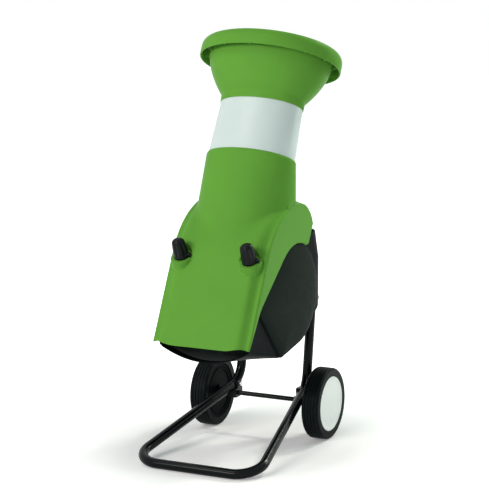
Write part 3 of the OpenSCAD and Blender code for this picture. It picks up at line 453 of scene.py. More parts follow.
def ridge(f):
    """Front edge of a cheek from its low corner, f = 0, to the shoulder, f = 1, as (y, z)."""
    if f < RIDGE_TURN:
        return mix_points(CHEEK_LOW, RIDGE_JOIN, f / RIDGE_TURN)
    turned = (f - RIDGE_TURN) / (1 - RIDGE_TURN)
    return on_circle(RIDGE_MID, RIDGE_R, mix(RIDGE_FROM, RIDGE_TO, turned))


def rear_edge(f):
    """Rear edge of a cheek from its low end, f = 0, to the top, f = 1, as (y, z)."""
    return on_circle(REAR_ARC, REAR_R, mix(REAR_TURN, REAR_END, f))


def arch(f):
    """Lower edge of a cheek from the front corner over the domed panel to the back."""
    tip, start, end = ARCH_STOPS
    if f < tip:
        return mix_points(CHEEK_LOW, ARCH_TIP, f / tip)
    if f < start:
        return mix_points(ARCH_TIP, on_circle(ARCH_MID, ARCH_R, ARCH_FROM), (f - tip) / (start - tip))
    if f < end:
        return on_circle(ARCH_MID, ARCH_R, mix(ARCH_FROM, ARCH_TO, (f - start) / (end - start)))
    return mix_points(on_circle(ARCH_MID, ARCH_R, ARCH_TO), rear_edge(0), (f - end) / (1 - end))


def cheek(k, j, inset):
    """A point of a cheek, k from front to back and j from the lower edge up, as (y, z)."""
    front_in = (inset, 0.0)
    back_in = (-CHEEK_BACK_SLANT * inset, -CHEEK_BACK_SLANT * inset)
    front = plus(ridge(j), front_in)
    back = plus(rear_edge(j), back_in)
    low_ends = (plus(ridge(0), front_in), plus(rear_edge(0), back_in))
    top_ends = (plus(ridge(1), front_in), plus(rear_edge(1), back_in))
    top = plus(mix_points(*top_ends, k), (0.0, CHEEK_CROWN * 4 * k * (1 - k)))
    low = plus(arch(k), mix_points(front_in, back_in, k))
    across = mix_points(front, back, k)
    upward = mix_points(low, top, j)
    corners = mix_points(mix_points(*low_ends, k), mix_points(*top_ends, k), j)
    return (across[0] + upward[0] - corners[0], across[1] + upward[1] - corners[1])


def neck_front(z):
    return NECK_RING_TOP[1] - (NECK_RING_TOP[2] - z) * NECK_FRONT_SLOPE


def neck_back(z):
    return NECK_RING_BACK[1] - (NECK_RING_BACK[2] - z) * NECK_BACK_SLOPE


def neck_middle(z):
    """Where the neck is widest."""
    return NECK_WIDE_Y - (NECK_FOOT - z) * NECK_FRONT_SLOPE


def neck_half_at(z):
    return NECK_HALF + NECK_TAPER * (NECK_RING_TOP[2] - z)


def neck_y(x, z):
    """Front face of the neck, flaring back past its widest place."""
    u = abs(x) / neck_half_at(z)
    middle = neck_middle(z)
    if u >= 1:
        return middle + (u - 1) * NECK_FLARE
    return middle - (middle - neck_front(z)) * math.sqrt(1 - u * u)


def bow(u, j):
    """How far the front stands out at u, the share of the half width: raised panel between grooves."""
    depth = PANEL_BOW * mix(FOOT_BOW, 1, min(j / RIDGE_TURN, 1))
    raised = depth / (1 + (u / PANEL_EDGE) ** PANEL_SHARP)
    groove = GROOVE_DEPTH * bell(u, GROOVE_AT, GROOVE_HALF) * (1 - u ** GROOVE_FADE)
    return groove - raised


def panel_foot(u):
    """Lower edge of the panel: raised a little in the middle and more beside the grooves."""
    return FOOT_LIFT * bell(u, FOOT_LIFT_AT, FOOT_LIFT_HALF) + FOOT_RISE * (1 - u * u)


def edge_round(x, radius):
    """How far the front falls back where it rounds over into a cheek."""
    near = max(abs(x) - (CHEEK_HALF - radius), 0)
    return radius - math.sqrt(max(radius * radius - near * near, 0))


def front_y(x, z, j):
    panel = ridge(j)[0] + bow(abs(x) / CHEEK_HALF, j) + edge_round(x, CHEEK_ROUND)
    return smooth_min(neck_y(x, z), panel, BLEND_W)


def seated_y(x, z, y, radius):
    """The front with the knob seats in it: a boss below each seat's floor and a pocket above it."""
    aside = abs(x) - KNOB_HALF
    if abs(aside) >= radius:
        return y
    half = math.sqrt(radius * radius - aside * aside)
    up = (z - SEAT_Z) * math.sin(KNOB_LEAN)
    near = SEAT_Y + (-half - up) / math.cos(KNOB_LEAN)
    far = SEAT_Y + (half - up) / math.cos(KNOB_LEAN)
    floor = SEAT_Y + (z - SEAT_Z) / math.tan(KNOB_LEAN)
    if y < near:
        return y
    if floor >= far:
        return max(y, far)
    return max(floor, near)


# Rows and columns of the shell, close together where the seats are
SEAT_LOW, SEAT_HIGH = 0.43, 0.74
SEAT_OUT, SEAT_IN = 158.0, 84.0
SHELL_ROWS = spread(0, SEAT_LOW, 16)[:-1] + spread(SEAT_LOW, SEAT_HIGH, 84)[:-1] + spread(SEAT_HIGH, 1, 16)
SIDE_X = spread(CHEEK_HALF, SEAT_OUT, 9)[:-1] + spread(SEAT_OUT, SEAT_IN, 48)[:-1]
FRONT_X = SIDE_X + spread(SEAT_IN, -SEAT_IN, 25) + [-x for x in reversed(SIDE_X)]
SIDE_STEPS = spread(0, 1, 31)[1:-1]
REAR_STEPS = spread(-1, 1, 21)
REAR_SPAN = 50.0
FOOT_ROWS = 0.05
NECK_ANGLES = (
    [math.degrees(math.acos(x / CHEEK_HALF)) for x in FRONT_X]
    + [180 + REAR_SPAN * k for k in SIDE_STEPS]
    + [270 + (90 - REAR_SPAN) * s for s in REAR_STEPS]
    + [360 - REAR_SPAN + REAR_SPAN * k for k in SIDE_STEPS]
)


def body_ring(j, inset):
    """One ring round the shell: over the front, along the left cheek, the back and the right cheek."""
    half = CHEEK_HALF - inset
    z = ridge(j)[1] - (inset if j == 1 else 0)
    ring = []
    for x in FRONT_X:
        y = seated_y(x, z, front_y(x, z, j), SEAT_R)
        lift = panel_foot(abs(x) / CHEEK_HALF) * max(1 - j / FOOT_ROWS, 0)
        ring.append((x * half / CHEEK_HALF, y + inset, z + lift))
    side = [cheek(k, j, inset) for k in SIDE_STEPS]
    set_back = [CHEEK_ROUND * (1 - k) ** CHEEK_ROUND_FADE for k in SIDE_STEPS]
    ring.extend((-half, y + back, z) for (y, z), back in zip(side, set_back))
    rear = cheek(1, j, inset)
    bulge = REAR_BULGE * j ** REAR_BULGE_GROWTH
    ring.extend((half * s, rear[0] + bulge * (1 - s * s), rear[1]) for s in REAR_STEPS)
    ring.extend((half, y + back, z) for (y, z), back in reversed(list(zip(side, set_back))))
    return ring


def neck_rings(inset, count):
    """Rings up the neck from the shoulders to just below its rounded top."""
    half = neck_half_at(NECK_FOOT) - inset
    middle = neck_middle(NECK_FOOT)
    ahead = middle - neck_front(NECK_FOOT) - inset
    behind = neck_back(NECK_FOOT) - middle - inset
    low = []
    for a in NECK_ANGLES:
        turn = math.radians(a)
        depth = ahead if a < 180 else behind
        low.append((half * math.cos(turn), middle - depth * math.sin(turn), NECK_FOOT))
    high = oval(NECK_TOP - NECK_ROUND, NECK_HALF - inset, NECK_ANGLES)
    return [[mix_points(p, q, f) for p, q in zip(low, high)] for f in spread(0, 1, count)]


def tube_half(t):
    """Half width of the feed tube, which draws in again inside the neck."""
    if t > NECK_TOP:
        return TUBE_TOP_HALF + TUBE_TAPER * (TUBE_TOP - t)
    return TUBE_TOP_HALF + TUBE_TAPER * (TUBE_TOP - NECK_TOP) - TUBE_TUCK * (NECK_TOP - t)


def neck_lip():
    """The rounded top of the neck, turned in to the feed tube."""
    lip = tube_half(NECK_TOP) + LIP_GAP
    reach = NECK_HALF - lip
    rings = []
    for a in spread(0, 90, 7)[1:]:
        turn = math.radians(a)
        t = NECK_TOP - NECK_ROUND * (1 - math.sin(turn))
        rings.append(oval(t, NECK_HALF - reach * LIP_TURN * (1 - math.cos(turn)), NECK_ANGLES))
    rings.append(oval(NECK_TOP - 1, lip, NECK_ANGLES))
    rings.append(oval(NECK_TOP - NECK_ROUND * LIP_DEPTH, lip, NECK_ANGLES))
    return rings


def green_shell():
    skin = Skin()
    outer = [body_ring(j, 0) for j in SHELL_ROWS] + neck_rings(0, 12) + neck_lip()
    inner = neck_rings(SHELL_WALL, 5)[::-1] + [body_ring(j, SHELL_WALL) for j in reversed(SHELL_ROWS)]
    skin.loft(outer + inner, loop=True)
    add_piece("green_shell", skin, "green_plastic", "hopper", ["upper_housing", "knob_seats"], sharp=50)


# Feed tube and bowl

COLLAR_LOW = 1228.0
COLLAR_H = 26.0
# Section of the collar: distances out from the tube, with those up from its foot and down from its top
COLLAR_FOOT = ((1.6, 0.0), (3.0, 0.0), (3.5, 1.0))
COLLAR_HEAD = ((4.8, 1.0), (5.0, 0.0))
RIM_LOW = 1375.0
RIM_HALF = 242.0
RIM_H = 57.0
CROWN_R = 22.0
CROWN_H = 28.0
CROWN_TURN = 118.0
SKIRT_T = 5.0
HOLLOW_H = 46.0
HOLLOW_TAPER = 8.0
SKIRT_EDGE = (1.0, 2.0)
RIM_OVERHANG = 30.0
BOWL_WALL = 4.0
BOWL_HALF = RIM_HALF - RIM_OVERHANG
BOWL_STEP = (6.0, 2.0)
BOWL_RISE = 30.0
BOWL_SWELL = 0.9
INSIDE_RISE = 38.0
RIM_RIBS = 14
RIB_T = 3.0
# Heights of a rib's lower corners above the rim's foot, and how deep its inner corners sink in the bowl
RIB_RISE = (2.0, 14.0)
RIB_SINK = (5.0, 1.0)


def feed_tube():
    lengths = spread(TUBE_LOW, NECK_TOP, 6)[:-1] + spread(NECK_TOP, TUBE_TOP, 12)
    skin = Skin()
    outer = [oval(t, tube_half(t), TURN) for t in lengths]
    inner = [oval(t, tube_half(t) - TUBE_WALL, TURN) for t in reversed(lengths)]
    skin.loft(outer + inner, loop=True)
    add_piece("white_tube", skin, "milky_plastic", "hopper", ["feed_tube"])


def bowl_curve(inset, count=22):
    """The bowl's wall from the collar up to the rim, as (half width, length)."""
    out, up = BOWL_STEP
    low, high = COLLAR_LOW + COLLAR_H + up, RIM_LOW + BOWL_RISE
    points = []
    for f in spread(0, 1, count):
        swell = math.sin(f * math.pi / 2) ** BOWL_SWELL
        points.append((mix(TUBE_TOP_HALF + out, BOWL_HALF, swell) - inset, mix(low, high, f)))
    return points


def bowl_profile():
    """Section of the bowl: collar, wall, turned-down rim and the inside."""
    fit, top = TUBE_TOP_HALF, COLLAR_LOW + COLLAR_H
    collar = [(fit + out, COLLAR_LOW + up) for out, up in COLLAR_FOOT]
    collar += [(fit + out, top - down) for out, down in COLLAR_HEAD]
    ceiling = RIM_LOW + HOLLOW_H
    across, up = SKIRT_EDGE
    skirt_in = RIM_HALF - SKIRT_T
    under = [(BOWL_HALF + across, ceiling - up), (BOWL_HALF + across + up, ceiling)]
    under += [(skirt_in - HOLLOW_TAPER, ceiling), (skirt_in, RIM_LOW + up)]
    skirt = [(skirt_in + across, RIM_LOW), (RIM_HALF - across, RIM_LOW), (RIM_HALF, RIM_LOW + up)]
    crown = arc((RIM_HALF - CROWN_R, RIM_LOW + RIM_H - CROWN_H), (CROWN_R, CROWN_H), 0, CROWN_TURN, 14)
    inside = [(BOWL_HALF - BOWL_WALL, RIM_LOW + INSIDE_RISE)] + bowl_curve(BOWL_WALL)[::-1]
    foot = [(fit - TUBE_WALL, top), (fit + LIP_GAP, top)]
    return collar + bowl_curve(0) + under + skirt + crown + inside + foot


def rim_rib(skin, degrees):
    """One gusset plate between the bowl and the skirt of its rim."""
    skirt = RIM_HALF - SKIRT_T
    top = RIM_LOW + HOLLOW_H + 1
    corners = [(BOWL_HALF - RIB_SINK[0], RIM_LOW + RIB_RISE[0]), (skirt, RIM_LOW + RIB_RISE[1])]
    corners += [(skirt - HOLLOW_TAPER, top), (BOWL_HALF - RIB_SINK[1], top)]
    plates = []
    for side in (-1, 1):
        shift = math.degrees(side * RIB_T / 2 / BOWL_HALF)
        plates.append([oval(t, half, [degrees + shift])[0] for half, t in corners])
    skin.loft(plates, caps=True)


def hopper_bowl():
    skin = Skin()
    skin.loft([oval(t, half, TURN) for half, t in bowl_profile()], loop=True)
    for k in range(RIM_RIBS):
        rim_rib(skin, (k + 0.5) * 360 / RIM_RIBS)
    add_piece("green_bowl", skin, "green_plastic", "hopper", ["hopper_bowl"])


# Base and its domed side panels

BASE_HALF = 158.0
BASE_WALL = 3.5
BASE_FRONT = 470.0
BASE_REAR = 135.0
BASE_LOW = 320.0
BASE_TOP = 690.0
BASE_ROUND = 87.1
CORNER_BEND = 600.0
CORNER_TAPER = 36.0
REAR_COVER_DEPTH = 15.0
BASE_SPLIT = BASE_REAR - REAR_COVER_DEPTH
TROUGH_SAG = 44.0
LOW_SAG = 12.0
LOW_Y = -237.0
LOW_FRONT = 383.0
REAR_LOW = 452.0
WALL_FOOT = 406.0
WALL_RISE = 1.85
KEEL_ROUND = 7.0
KEEL_EDGE = (1.2, 2.2)
BEND_SHARE = 0.7
LOW_ROUND = 4.0


def corner_radius(z):
    """Radius of the rear corners, which grows above the bend."""
    return BASE_ROUND + CORNER_TAPER * max(z - CORNER_BEND, 0) / (BASE_TOP - CORNER_BEND)


def base_half_at(y, z, inset):
    """Half width of the tub, narrower round its rear corners."""
    radius = corner_radius(z)
    bend = BASE_REAR - radius
    if y <= bend:
        return BASE_HALF - inset
    return BASE_HALF - radius + math.sqrt(max((radius - inset) ** 2 - (y - bend) ** 2, 0))


def channel(y, inset):
    """Section of the tub at depth y: down the left wall, under the sagging floor, up the right wall."""
    along = (y + BASE_FRONT) / (LOW_Y + BASE_FRONT)
    back = (y - LOW_Y) / (BASE_REAR - LOW_Y)
    low = inset + (mix(LOW_FRONT, BASE_LOW, along) if y < LOW_Y else mix(BASE_LOW, REAR_LOW, back))
    sag = mix(TROUGH_SAG, LOW_SAG, along) if y < LOW_Y else LOW_SAG
    top = min(WALL_FOOT + (y + BASE_FRONT) * WALL_RISE, BASE_TOP)
    bend = min(CORNER_BEND, mix(low, top, BEND_SHARE))
    half = base_half_at(y, bend, inset)
    floor = [(half * s, low - sag * (1 - s * s)) for s in spread(-1, 1, 33)]
    wall = [(-base_half_at(y, z, inset), z) for z in spread(top, bend, 6)]
    wall += [(-half, low + KEEL_ROUND), (-half + KEEL_EDGE[0], low + KEEL_EDGE[1])]
    other = [(-x, z) for x, z in reversed(wall)]
    return [(x, y, z) for x, z in wall + floor[1:-1] + other]


def base_tub():
    steep = (BASE_TOP - WALL_FOOT) / WALL_RISE - BASE_FRONT
    bend = BASE_REAR - corner_radius(BASE_TOP)
    stations = spread(-BASE_FRONT, steep, 14) + spread(steep, LOW_Y, 5)[1:]
    stations += spread(LOW_Y + LOW_ROUND, bend, 16) + spread(bend, BASE_SPLIT, 20)[1:]
    sections = [channel(y, 0) + channel(y, BASE_WALL)[::-1] for y in stations]
    skin = Skin()
    skin.loft(sections)
    count = len(sections[0])
    for first in (0, (len(sections) - 1) * count):
        for i in range(count // 2 - 1):
            skin.faces.append((first + i, first + i + 1, first + count - 2 - i, first + count - 1 - i))
    add_piece("black_tub", skin, "black_plastic", "chassis", ["base_housing"], sharp=30)


DOME_CIRCLES = ((-130.0, 510.0, 168.0), (-386.0, 506.0, 20.0), (-240.0, 334.0, 12.0))
DOME_MID = (-165.0, 500.0)
DOME_BULGE = 22.0
DOME_STEP = 4.0
DOME_GAP = 0.3
# Edge of a domed panel: the share that it is drawn in by, with the distance out from the base
DOME_LIP = ((0.02, DOME_GAP), (0.0, DOME_GAP), (0.0, DOME_STEP - 2), (0.004, DOME_STEP - 0.6))


def dome_edge(degrees):
    """Outline of a domed panel: the furthest of its circles in each direction."""
    c, s = math.cos(math.radians(degrees)), math.sin(math.radians(degrees))
    y, z, r = max(DOME_CIRCLES, key=lambda circle: circle[0] * c + circle[1] * s + circle[2])
    return (y + r * c, z + r * s)


def dome_ring(inset, rise):
    """The outline drawn in by a share and standing out from the base."""
    ring = []
    for degrees in spread(0, 358, 180):
        y, z = mix_points(dome_edge(degrees), DOME_MID, inset)
        ring.append((BASE_HALF + rise, y, z))
    return ring


def dome_skin():
    skin = Skin()
    rings = [dome_ring(inset, rise) for inset, rise in DOME_LIP]
    for a in spread(6, 86, 18):
        turn = math.radians(a)
        rise = DOME_STEP + (DOME_BULGE - DOME_STEP) * math.sin(turn)
        rings.append(dome_ring(1 - math.cos(turn), rise))
    skin.loft(rings)
    skin.fan(rings[-1], (BASE_HALF + DOME_BULGE, *DOME_MID))
    return skin


def side_panels():
    right = dome_skin()
    left = right.mirror()
    for skin, side in ((right, "right"), (left, "left")):
        panel = f"{side}_side_panel"
        add_piece(f"{side}_dome", skin, "charcoal_plastic", "chassis", [panel], sharp=60)


# Tube frame

TUBE_R = 16.0
AXLE_R = 8.0
FOOT_REACH = 551.0
FOOT_HALF = 223.0
KNEE_HALF = 124.0
KNEE_BACK = 46.0
UPRIGHT_END = (122.0, 95.0, 470.0)
BEND_R = 80.0
AXLE_SADDLE = 0.6


def frame_path():
    """Middle line of the right half of the bent tube, with round bends."""
    drop = WHEEL_R - TUBE_R
    clear = TUBE_R + AXLE_R + AXLE_SADDLE
    pitch = math.atan2(drop, FOOT_REACH) + math.asin(clear / math.hypot(FOOT_REACH, drop))
    knee = Vector((KNEE_HALF, KNEE_BACK, TUBE_R + (FOOT_REACH + KNEE_BACK) * math.tan(pitch)))
    middle, foot = Vector((0, -FOOT_REACH, TUBE_R)), Vector((FOOT_HALF, -FOOT_REACH, TUBE_R))
    corners = [middle, foot, knee, Vector(UPRIGHT_END)]
    path = [corners[0]]
    for before, corner, after in zip(corners, corners[1:], corners[2:]):
        u, v = (corner - before).normalized(), (after - corner).normalized()
        turn = math.acos(u.dot(v))
        side = (v - u * u.dot(v)).normalized()
        start = corner - u * BEND_R * math.tan(turn / 2)
        for a in spread(0, turn, 17):
            path.append(start + BEND_R * (u * math.sin(a) + side * (1 - math.cos(a))))
    path.append(corners[-1])
    return path


def sweep(skin, path, radius, sides=32):
    """A round tube along a path, its rings carried without twist."""
    rings = []
    normal = None
    for i, point in enumerate(path):
        ahead = path[min(i + 1, len(path) - 1)] - path[max(i - 1, 0)]
        ahead.normalize()
        if normal is None:
            normal = Vector((0, 0, 1))
        normal = (normal - ahead * normal.dot(ahead)).normalized()
        across = ahead.cross(normal)
        spokes = [normal * math.cos(a) + across * math.sin(a) for a in circle(sides)]
        rings.append([tuple(point + radius * spoke) for spoke in spokes])
    skin.loft(rings, caps=True)


def tube_frame():
    right = frame_path()
    left = [Vector((-p.x, p.y, p.z)) for p in reversed(right)]
    skin = Skin()
    sweep(skin, left + right[1:], TUBE_R)
    add_piece("tube_frame", skin, "black_paint", "chassis", ["front_foot", "left_leg", "right_leg"])


# Wheels

TYRE_W = 60.0
TYRE_SEAT = 92.0
TYRE_SHOULDER = 9.0
TREAD_GROOVES = 4
TREAD_GROOVE_W = 4.0
TREAD_SLANT = 0.7
TREAD_DEPTH = 2.5
# Foot of the tyre's section: distances out from its seat and in from its side
TYRE_BEAD = ((0.3, 3.0), (2.0, 0.0), (12.0, 0.8))
CAP_BACK = 26.0
CAP_T = 3.5
CAP_GAP = 0.3
# Section of the hub cap: distances in from its edge and down from its face, then the dished middle
CAP_EDGE = ((0.2, CAP_T), (0.0, 1.6), (0.9, 0.4), (2.7, 0.0), (7.7, 0.0), (9.7, 0.4), (10.7, 1.2))
CAP_DISH_R = 40.0
CAP_DISH = 0.9
CAP_MIDDLE = 0.8


def spun(profile, side, turns=120):
    """A closed section, as (radius, distance outwards), turned round the axle."""
    rings = []
    for radius, out in profile:
        x = side * (WHEEL_X + out)
        rings.append([(x, radius * math.cos(a), WHEEL_R + radius * math.sin(a)) for a in circle(turns)])
    return rings


def tread_profile():
    """Section of a tyre: bead, round shoulder, grooved tread and the same on the other side."""
    half = TYRE_W / 2
    flat = half - TYRE_SHOULDER
    side = [(TYRE_SEAT + out, inward - half) for out, inward in TYRE_BEAD]
    side += arc((WHEEL_R - TYRE_SHOULDER, -flat), (TYRE_SHOULDER, TYRE_SHOULDER), -90, 0, 8)
    pitch = 2 * flat / TREAD_GROOVES
    floor_r = WHEEL_R - TREAD_DEPTH
    wide, narrow = TREAD_GROOVE_W / 2, TREAD_GROOVE_W / 2 - TREAD_SLANT
    tread = []
    for k in range(TREAD_GROOVES):
        middle = -flat + (k + 0.5) * pitch
        tread += [(WHEEL_R, middle - wide), (floor_r, middle - narrow)]
        tread += [(floor_r, middle + narrow), (WHEEL_R, middle + wide)]
    return side + tread + [(r, -x) for r, x in reversed(side)]


def cap_profile():
    """Section of a hub cap: rolled edge, shallow step and a slightly dished middle."""
    face = CAP_BACK + CAP_T
    edge = TYRE_SEAT - CAP_GAP
    rolled = [(edge - inward, face - down) for inward, down in CAP_EDGE]
    return rolled + [(CAP_DISH_R, face - CAP_DISH), (0.5, face - CAP_MIDDLE)]


def wheels():
    for side, name in ((1, "right"), (-1, "left")):
        skin = Skin()
        skin.loft(spun(tread_profile(), side), loop=True)
        add_piece(f"{name}_tread", skin, "tyre_black", f"{name}_wheel", [f"{name}_tyre"])
        cap = Skin()
        rings = spun(cap_profile(), side)
        cap.loft(rings)
        cap.fan(rings[-1], (side * (WHEEL_X + CAP_BACK + CAP_T - CAP_MIDDLE), 0, WHEEL_R))
        add_piece(f"{name}_disc", cap, "white_plastic", f"{name}_wheel", [f"{name}_hub_cap"])


# Knobs

KNOB_R = 25.0
KNOB_HEAD_R = 19.5
KNOB_LEN = 66.0
KNOB_LIFT = 1.0
KNOB_FOOT = 6.0
KNOB_CHAMFER = 0.8
KNOB_CROWN = 14.0
KNOB_SIDES = 144
CROWN_REACH = 0.93
CROWN_POWER = 2.6
KNOB_FLUTES = 6
FLUTE_DEPTH = 2.6
FLUTE_LOW = 7.0
FLUTE_HIGH = KNOB_LEN - 5
FLUTE_FADE_LOW = 6.0
FLUTE_FADE_HIGH = 8.0
FLUTE_POWER = 0.6
WING_OUT = 10.0
WING_ROOT = KNOB_R - 6
WING_HALF = 4.0
WING_TRIM = 0.8
WING_LOW = 0.3
WING_HIGH = 16.0
# Heights between which the wing's tip is straight
WING_TIP = (4.0, 11.0)


def knob_point(side, x, y, h):
    """A point in a knob's own frame, h up along its screw."""
    c, s = math.cos(KNOB_LEAN), math.sin(KNOB_LEAN)
    up = h + KNOB_LIFT
    return (side * KNOB_HALF + x, SEAT_Y + y * c - up * s, SEAT_Z + y * s + up * c)


def knob_radius(h):
    """Straight foot with a chamfer, tapering body and rounded head."""
    if h <= KNOB_FOOT:
        return KNOB_R if h else KNOB_R - KNOB_CHAMFER
    taper = mix(KNOB_R, KNOB_HEAD_R, (h / KNOB_LEN) ** 2)
    near = max(h - (KNOB_LEN - KNOB_CROWN), 0) / KNOB_CROWN
    return taper * math.sqrt(1 - (near * CROWN_REACH) ** CROWN_POWER)


def flute_cut(h, angle):
    """How deep the flutes bite; they fade out towards both ends."""
    fade = clipped((h - FLUTE_LOW) / FLUTE_FADE_LOW) * clipped((FLUTE_HIGH - h) / FLUTE_FADE_HIGH)
    return FLUTE_DEPTH * fade * max(-math.cos(KNOB_FLUTES * angle), 0) ** FLUTE_POWER


def knob_ring(side, h):
    ring = []
    for a in circle(KNOB_SIDES):
        radius = knob_radius(h) - flute_cut(h, a)
        ring.append(knob_point(side, radius * math.cos(a), radius * math.sin(a), h))
    return ring


def knob(side, name):
    foot = [0, 0.6] + spread(2, KNOB_FOOT, 3)
    rings = [knob_ring(side, h) for h in foot + spread(FLUTE_LOW, KNOB_LEN, 40)]
    skin = Skin()
    skin.loft(rings)
    skin.fan(rings[-1], knob_point(side, 0, 0, KNOB_LEN + 0.5))
    skin.fan(rings[0], knob_point(side, 0, 0, 0))
    wing(skin, side)
    clamp, node = f"{name}_clamp", f"{name}_knob"
    add_piece(f"{name}_grip", skin, "black_plastic", clamp, [node], sharp=55, finish="knob_black")


def wing(skin, side):
    """The small wing at a knob's foot."""
    flat = WING_HALF - WING_TRIM
    rings = []
    for y, trim in ((-WING_HALF, WING_TRIM), (-flat, 0), (flat, 0), (WING_HALF, WING_TRIM)):
        reach = KNOB_R + WING_OUT - trim
        low, high = WING_LOW + trim, WING_HIGH - trim
        outline = [(WING_ROOT, low), (reach - 3, low), (reach, WING_TIP[0]), (reach, WING_TIP[1])]
        outline += [(reach - 4, high - 1), (WING_ROOT, high)]
        rings.append([knob_point(side, x, y, h) for x, h in outline])
    skin.loft(rings, caps=True)


# Light, floor and camera

CAMERA_MM = (2597.91, -5516.03, 1727.49)
CAMERA_RIGHT = (0.89951, 0.43690, -0.00294)
CAMERA_UP = (-0.07521, 0.16147, 0.98401)
CAMERA_AHEAD = (-0.43039, 0.88490, -0.17810)
LENS_MM = 133.25
SENSOR_MM = 36.0
SIGHT_M = 60.0

# Area lamps: place and target in metres, size, watts and tint
LAMPS = {
    "key": ((-1.7, -5.25, 3.04), (0, 0, 0.7), (3.0, 1.6), 162, (1.0, 0.95, 0.88)),
    "high": ((-1.5, -1.9, 4.3), (0, 0, 0.4), (1.6, 1.6), 28, (1.0, 0.97, 0.9)),
    "side": ((2.86, 3.18, 2.0), (0, 0, 0.8), (1.4, 1.4), 54, (0.92, 1.0, 0.88)),
    "back": ((1.6, 3.3, 3.8), (0, 0, 1.0), (0.8, 0.8), 95, (0.95, 1.0, 0.86)),
}

# Soft dome of light: where it is brightest, its strengths and its tint
SKY_FROM = (-0.6, -0.5, 0.6)
SKY_DIM = 0.08
SKY_BRIGHT = 0.32
SKY_TINT = (0.74, 1.0, 0.96, 1.0)

# Floor, in metres: half width, drop below the tyres, colour, and a glow that grows with distance
FLOOR_HALF = 14.0
FLOOR_DROP = 0.0005
FLOOR_COLOUR = (0.97, 0.92, 0.96, 1.0)
FLOOR_NEAR = 0.35
FLOOR_FAR = 0.95
GLOW_NEAR = 0.2
GLOW_FAR = 0.95
WHITE = (1.0, 1.0, 1.0, 1.0)


def set_camera():
    data = bpy.data.cameras.new("camera")
    data.lens = LENS_MM
    data.sensor_width = SENSOR_MM
    data.clip_end = SIGHT_M
    camera = bpy.data.objects.new("camera", data)
    right, up, ahead = Vector(CAMERA_RIGHT), Vector(CAMERA_UP), Vector(CAMERA_AHEAD)
    turn = Matrix((right, up, -ahead)).transposed().to_4x4()
    camera.matrix_world = Matrix.Translation(to_frame(CAMERA_MM)) @ turn
    bpy.context.scene.collection.objects.link(camera)
    bpy.context.scene.camera = camera


def add_light(name, place, target, size, power, tint):
    data = bpy.data.lights.new(name, "AREA")
    data.shape = "RECTANGLE"
    data.size, data.size_y = size
    data.energy = power
    data.color = tint
    light = bpy.data.objects.new(name, data)
    light.location = place
    light.rotation_euler = (Vector(target) - Vector(place)).to_track_quat("-Z", "Y").to_euler()
    bpy.context.scene.collection.objects.link(light)


def seen_rays(nodes, links):
    """1 where the eye looks, straight or by way of a gloss or a clear piece, and 0 for other light."""
    paths = nodes.new("ShaderNodeLightPath")
    seen = paths.outputs["Is Camera Ray"]
    for ray in ("Is Glossy Ray", "Is Transmission Ray"):
        either = nodes.new("ShaderNodeMath")
        either.operation = "MAXIMUM"
        links.new(seen, either.inputs[0])
        links.new(paths.outputs[ray], either.inputs[1])
        seen = either.outputs["Value"]
    return seen


def set_world():
    """White to the eye and in reflections; otherwise a soft dome of light, brightest above the front."""
    world = bpy.data.worlds.new("studio")
    world.use_nodes = True
    nodes, links = world.node_tree.nodes, world.node_tree.links
    backdrop = nodes.new("ShaderNodeBackground")
    backdrop.inputs["Color"].default_value = WHITE
    backdrop.inputs["Strength"].default_value = 1.0
    coords = nodes.new("ShaderNodeTexCoord")
    facing = nodes.new("ShaderNodeVectorMath")
    facing.operation = "DOT_PRODUCT"
    facing.inputs[1].default_value = Vector(SKY_FROM).normalized()
    links.new(coords.outputs["Generated"], facing.inputs[0])
    span = nodes.new("ShaderNodeMapRange")
    span.inputs["From Min"].default_value = -1.0
    span.inputs["To Min"].default_value = SKY_DIM
    span.inputs["To Max"].default_value = SKY_BRIGHT
    links.new(facing.outputs["Value"], span.inputs["Value"])
    soft = nodes["Background"]
    soft.inputs["Color"].default_value = SKY_TINT
    links.new(span.outputs["Result"], soft.inputs["Strength"])
    blend = nodes.new("ShaderNodeMixShader")
    links.new(seen_rays(nodes, links), blend.inputs["Fac"])
    links.new(soft.outputs["Background"], blend.inputs[1])
    links.new(backdrop.outputs["Background"], blend.inputs[2])
    links.new(blend.outputs["Shader"], nodes["World Output"].inputs["Surface"])
    bpy.context.scene.world = world


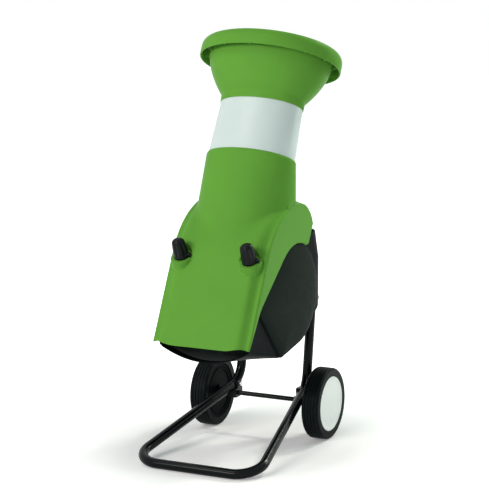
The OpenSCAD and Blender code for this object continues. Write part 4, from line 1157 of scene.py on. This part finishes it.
def floor_material():
    """Pale floor that the eye sees run out into white, and that keeps the object's shadow."""
    material, nodes, links, shader = new_material("pale_floor")
    grain = noise(nodes, links, 3.0)
    patchy = tinted(nodes, links, grain, scaled(FLOOR_COLOUR, 0.97), FLOOR_COLOUR)
    links.new(patchy, shader.inputs["Base Color"])
    shader.inputs["Roughness"].default_value = 0.9
    shader.inputs["Specular IOR Level"].default_value = 0.1
    shader.inputs["Emission Color"].default_value = WHITE
    place = nodes.new("ShaderNodeNewGeometry")
    reach = nodes.new("ShaderNodeVectorMath")
    reach.operation = "LENGTH"
    links.new(place.outputs["Position"], reach.inputs[0])
    glow = nodes.new("ShaderNodeMapRange")
    glow.inputs["From Min"].default_value = FLOOR_NEAR
    glow.inputs["From Max"].default_value = FLOOR_FAR
    glow.inputs["To Min"].default_value = GLOW_NEAR
    glow.inputs["To Max"].default_value = GLOW_FAR
    links.new(reach.outputs["Value"], glow.inputs["Value"])
    seen = nodes.new("ShaderNodeMath")
    seen.operation = "MULTIPLY"
    links.new(glow.outputs["Result"], seen.inputs[0])
    links.new(seen_rays(nodes, links), seen.inputs[1])
    links.new(seen.outputs["Value"], shader.inputs["Emission Strength"])
    return material


def set_stage():
    """The floor and the lamps."""
    mesh = bpy.data.meshes.new("floor")
    corners = ((-1, -1), (1, -1), (1, 1), (-1, 1))
    points = [(FLOOR_HALF * x, FLOOR_HALF * y, -FLOOR_DROP) for x, y in corners]
    mesh.from_pydata(points, [], [(0, 1, 2, 3)])
    mesh.materials.append(floor_material())
    floor = bpy.data.objects.new("floor", mesh)
    bpy.context.scene.collection.objects.link(floor)
    for name, lamp in LAMPS.items():
        add_light(name, *lamp)


def paint_nodes():
    """Gives each CAD node that still shows its own material; the chute plate gets a lighter black that paints
    light into its shaded inside.
    """
    finishes = {part["node"]: part["material_slot"] for part in frame["record"]["subparts"]}
    # Painted light: the chute plate takes the lighter black in place of the light that its shaded inside lacks.
    finishes["chute_plate"] = "painted_light_black"
    for name, node in frame["nodes"].items():
        node.data.materials.clear()
        node.data.materials.append(MATERIALS[finishes[name]])


bpy.context.scene.view_settings.view_transform = "Standard"
set_camera()
set_world()
set_stage()
paint_nodes()
green_shell()
feed_tube()
hopper_bowl()
base_tub()
side_panels()
tube_frame()
wheels()
knob(1, "right")
knob(-1, "left")
